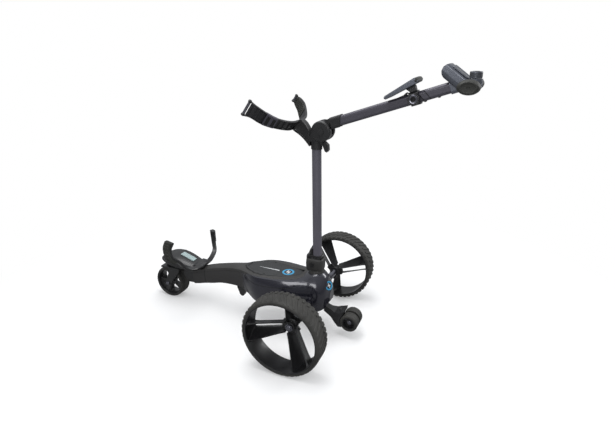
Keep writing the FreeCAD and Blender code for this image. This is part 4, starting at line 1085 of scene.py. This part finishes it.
def make_floor():
    """Pale floor that fades into the white backdrop away from the trolley."""
    floor = bpy.data.meshes.new("floor")
    reach = 40.0
    floor.from_pydata([(-reach, -reach, 0), (reach, -reach, 0), (reach, reach, 0), (-reach, reach, 0)], [],
                      [(0, 1, 2, 3)])
    made = bpy.data.objects.new("floor", floor)
    bpy.context.scene.collection.objects.link(made)
    material, tree = new_finish("pale_floor")
    place = node(tree, "ShaderNodeTexCoord").outputs["Object"]
    pale = mixed(tree, noise(tree, place, 0.8), grey(0.95), grey(0.99))
    seen = node(tree, "ShaderNodeLightPath").outputs["Is Camera Ray"]
    shade = mixed(tree, seen, grey(0.30), pale)
    surface = node(tree, "ShaderNodeBsdfPrincipled", {"Base Color": shade, "Roughness": 0.8})
    away = node(tree, "ShaderNodeVectorMath", {0: place}, operation="LENGTH").outputs["Value"]
    fade = product(tree, ranged(tree, away, 0.75, 1.5, 0.25, 1.0), seen)
    glow = node(tree, "ShaderNodeEmission", {"Color": grey(1.0), "Strength": 1.0})
    blended = node(tree, "ShaderNodeMixShader", {0: fade, 1: surface.outputs[0], 2: glow.outputs[0]})
    node(tree, "ShaderNodeOutputMaterial", {"Surface": blended.outputs[0]})
    floor.materials.append(material)


def area_light(name, place, target, size, power):
    data = bpy.data.lights.new(name, "AREA")
    data.shape = "RECTANGLE"
    data.size, data.size_y = size
    data.energy = power
    lamp = bpy.data.objects.new(name, data)
    lamp.location = place
    lamp.rotation_euler = (Vector(target) - Vector(place)).to_track_quat("-Z", "Y").to_euler()
    bpy.context.scene.collection.objects.link(lamp)


def make_camera():
    """Camera behind and to the left of the trolley, a little above it."""
    place = at(-596.05, 1422.66, 1047.09)
    azimuth, elevation, roll = (math.radians(v) for v in (203.752, 20.457, -0.828))
    back = Vector((math.sin(azimuth) * math.cos(elevation), -math.cos(azimuth) * math.cos(elevation),
                   math.sin(elevation)))
    right = (-back).cross(Vector((0, 0, 1))).normalized()
    up = right.cross(-back)
    turned_right = right * math.cos(roll) + up * math.sin(roll)
    turned_up = up * math.cos(roll) - right * math.sin(roll)
    matrix = Matrix((turned_right, turned_up, back)).transposed().to_4x4()
    matrix.translation = place
    data = bpy.data.cameras.new("camera")
    data.sensor_width = 36
    data.lens = 26.603941
    data.clip_start = 0.01
    camera = bpy.data.objects.new("camera", data)
    camera.matrix_world = matrix
    bpy.context.scene.collection.objects.link(camera)
    bpy.context.scene.camera = camera


def make_world():
    """White backdrop for the camera, and soft light from overhead for everything else."""
    world = bpy.data.worlds.new("studio")
    bpy.context.scene.world = world
    world.use_nodes = True
    tree = world.node_tree
    tree.nodes.clear()
    seen = node(tree, "ShaderNodeLightPath").outputs["Is Camera Ray"]
    split = node(tree, "ShaderNodeSeparateXYZ", {0: node(tree, "ShaderNodeTexCoord").outputs["Generated"]})
    height = ranged(tree, split.outputs[2], -0.1, 0.9, 0.16, 0.85)
    dim = node(tree, "ShaderNodeBackground", {"Color": (0.95, 0.97, 1.0, 1.0), "Strength": height})
    bright = node(tree, "ShaderNodeBackground", {"Color": (1.0, 1.0, 1.0, 1.0), "Strength": 1.0})
    blended = node(tree, "ShaderNodeMixShader", {0: seen, 1: dim.outputs[0], 2: bright.outputs[0]})
    node(tree, "ShaderNodeOutputWorld", {"Surface": blended.outputs[0]})


make_floor()
make_world()
area_light("overhead", (0.2, 0.1, 2.6), (0.0, 0.0, 0.3), (2.0, 1.2), 34)
area_light("side", (-0.4, 2.6, 1.3), (0.1, 0.0, 0.3), (1.6, 0.5), 16)
area_light("rim", (-2.2, -1.6, 1.6), (0.0, 0.0, 0.5), (0.8, 1.4), 24)
make_camera()
bpy.context.scene.view_settings.view_transform = "Standard"
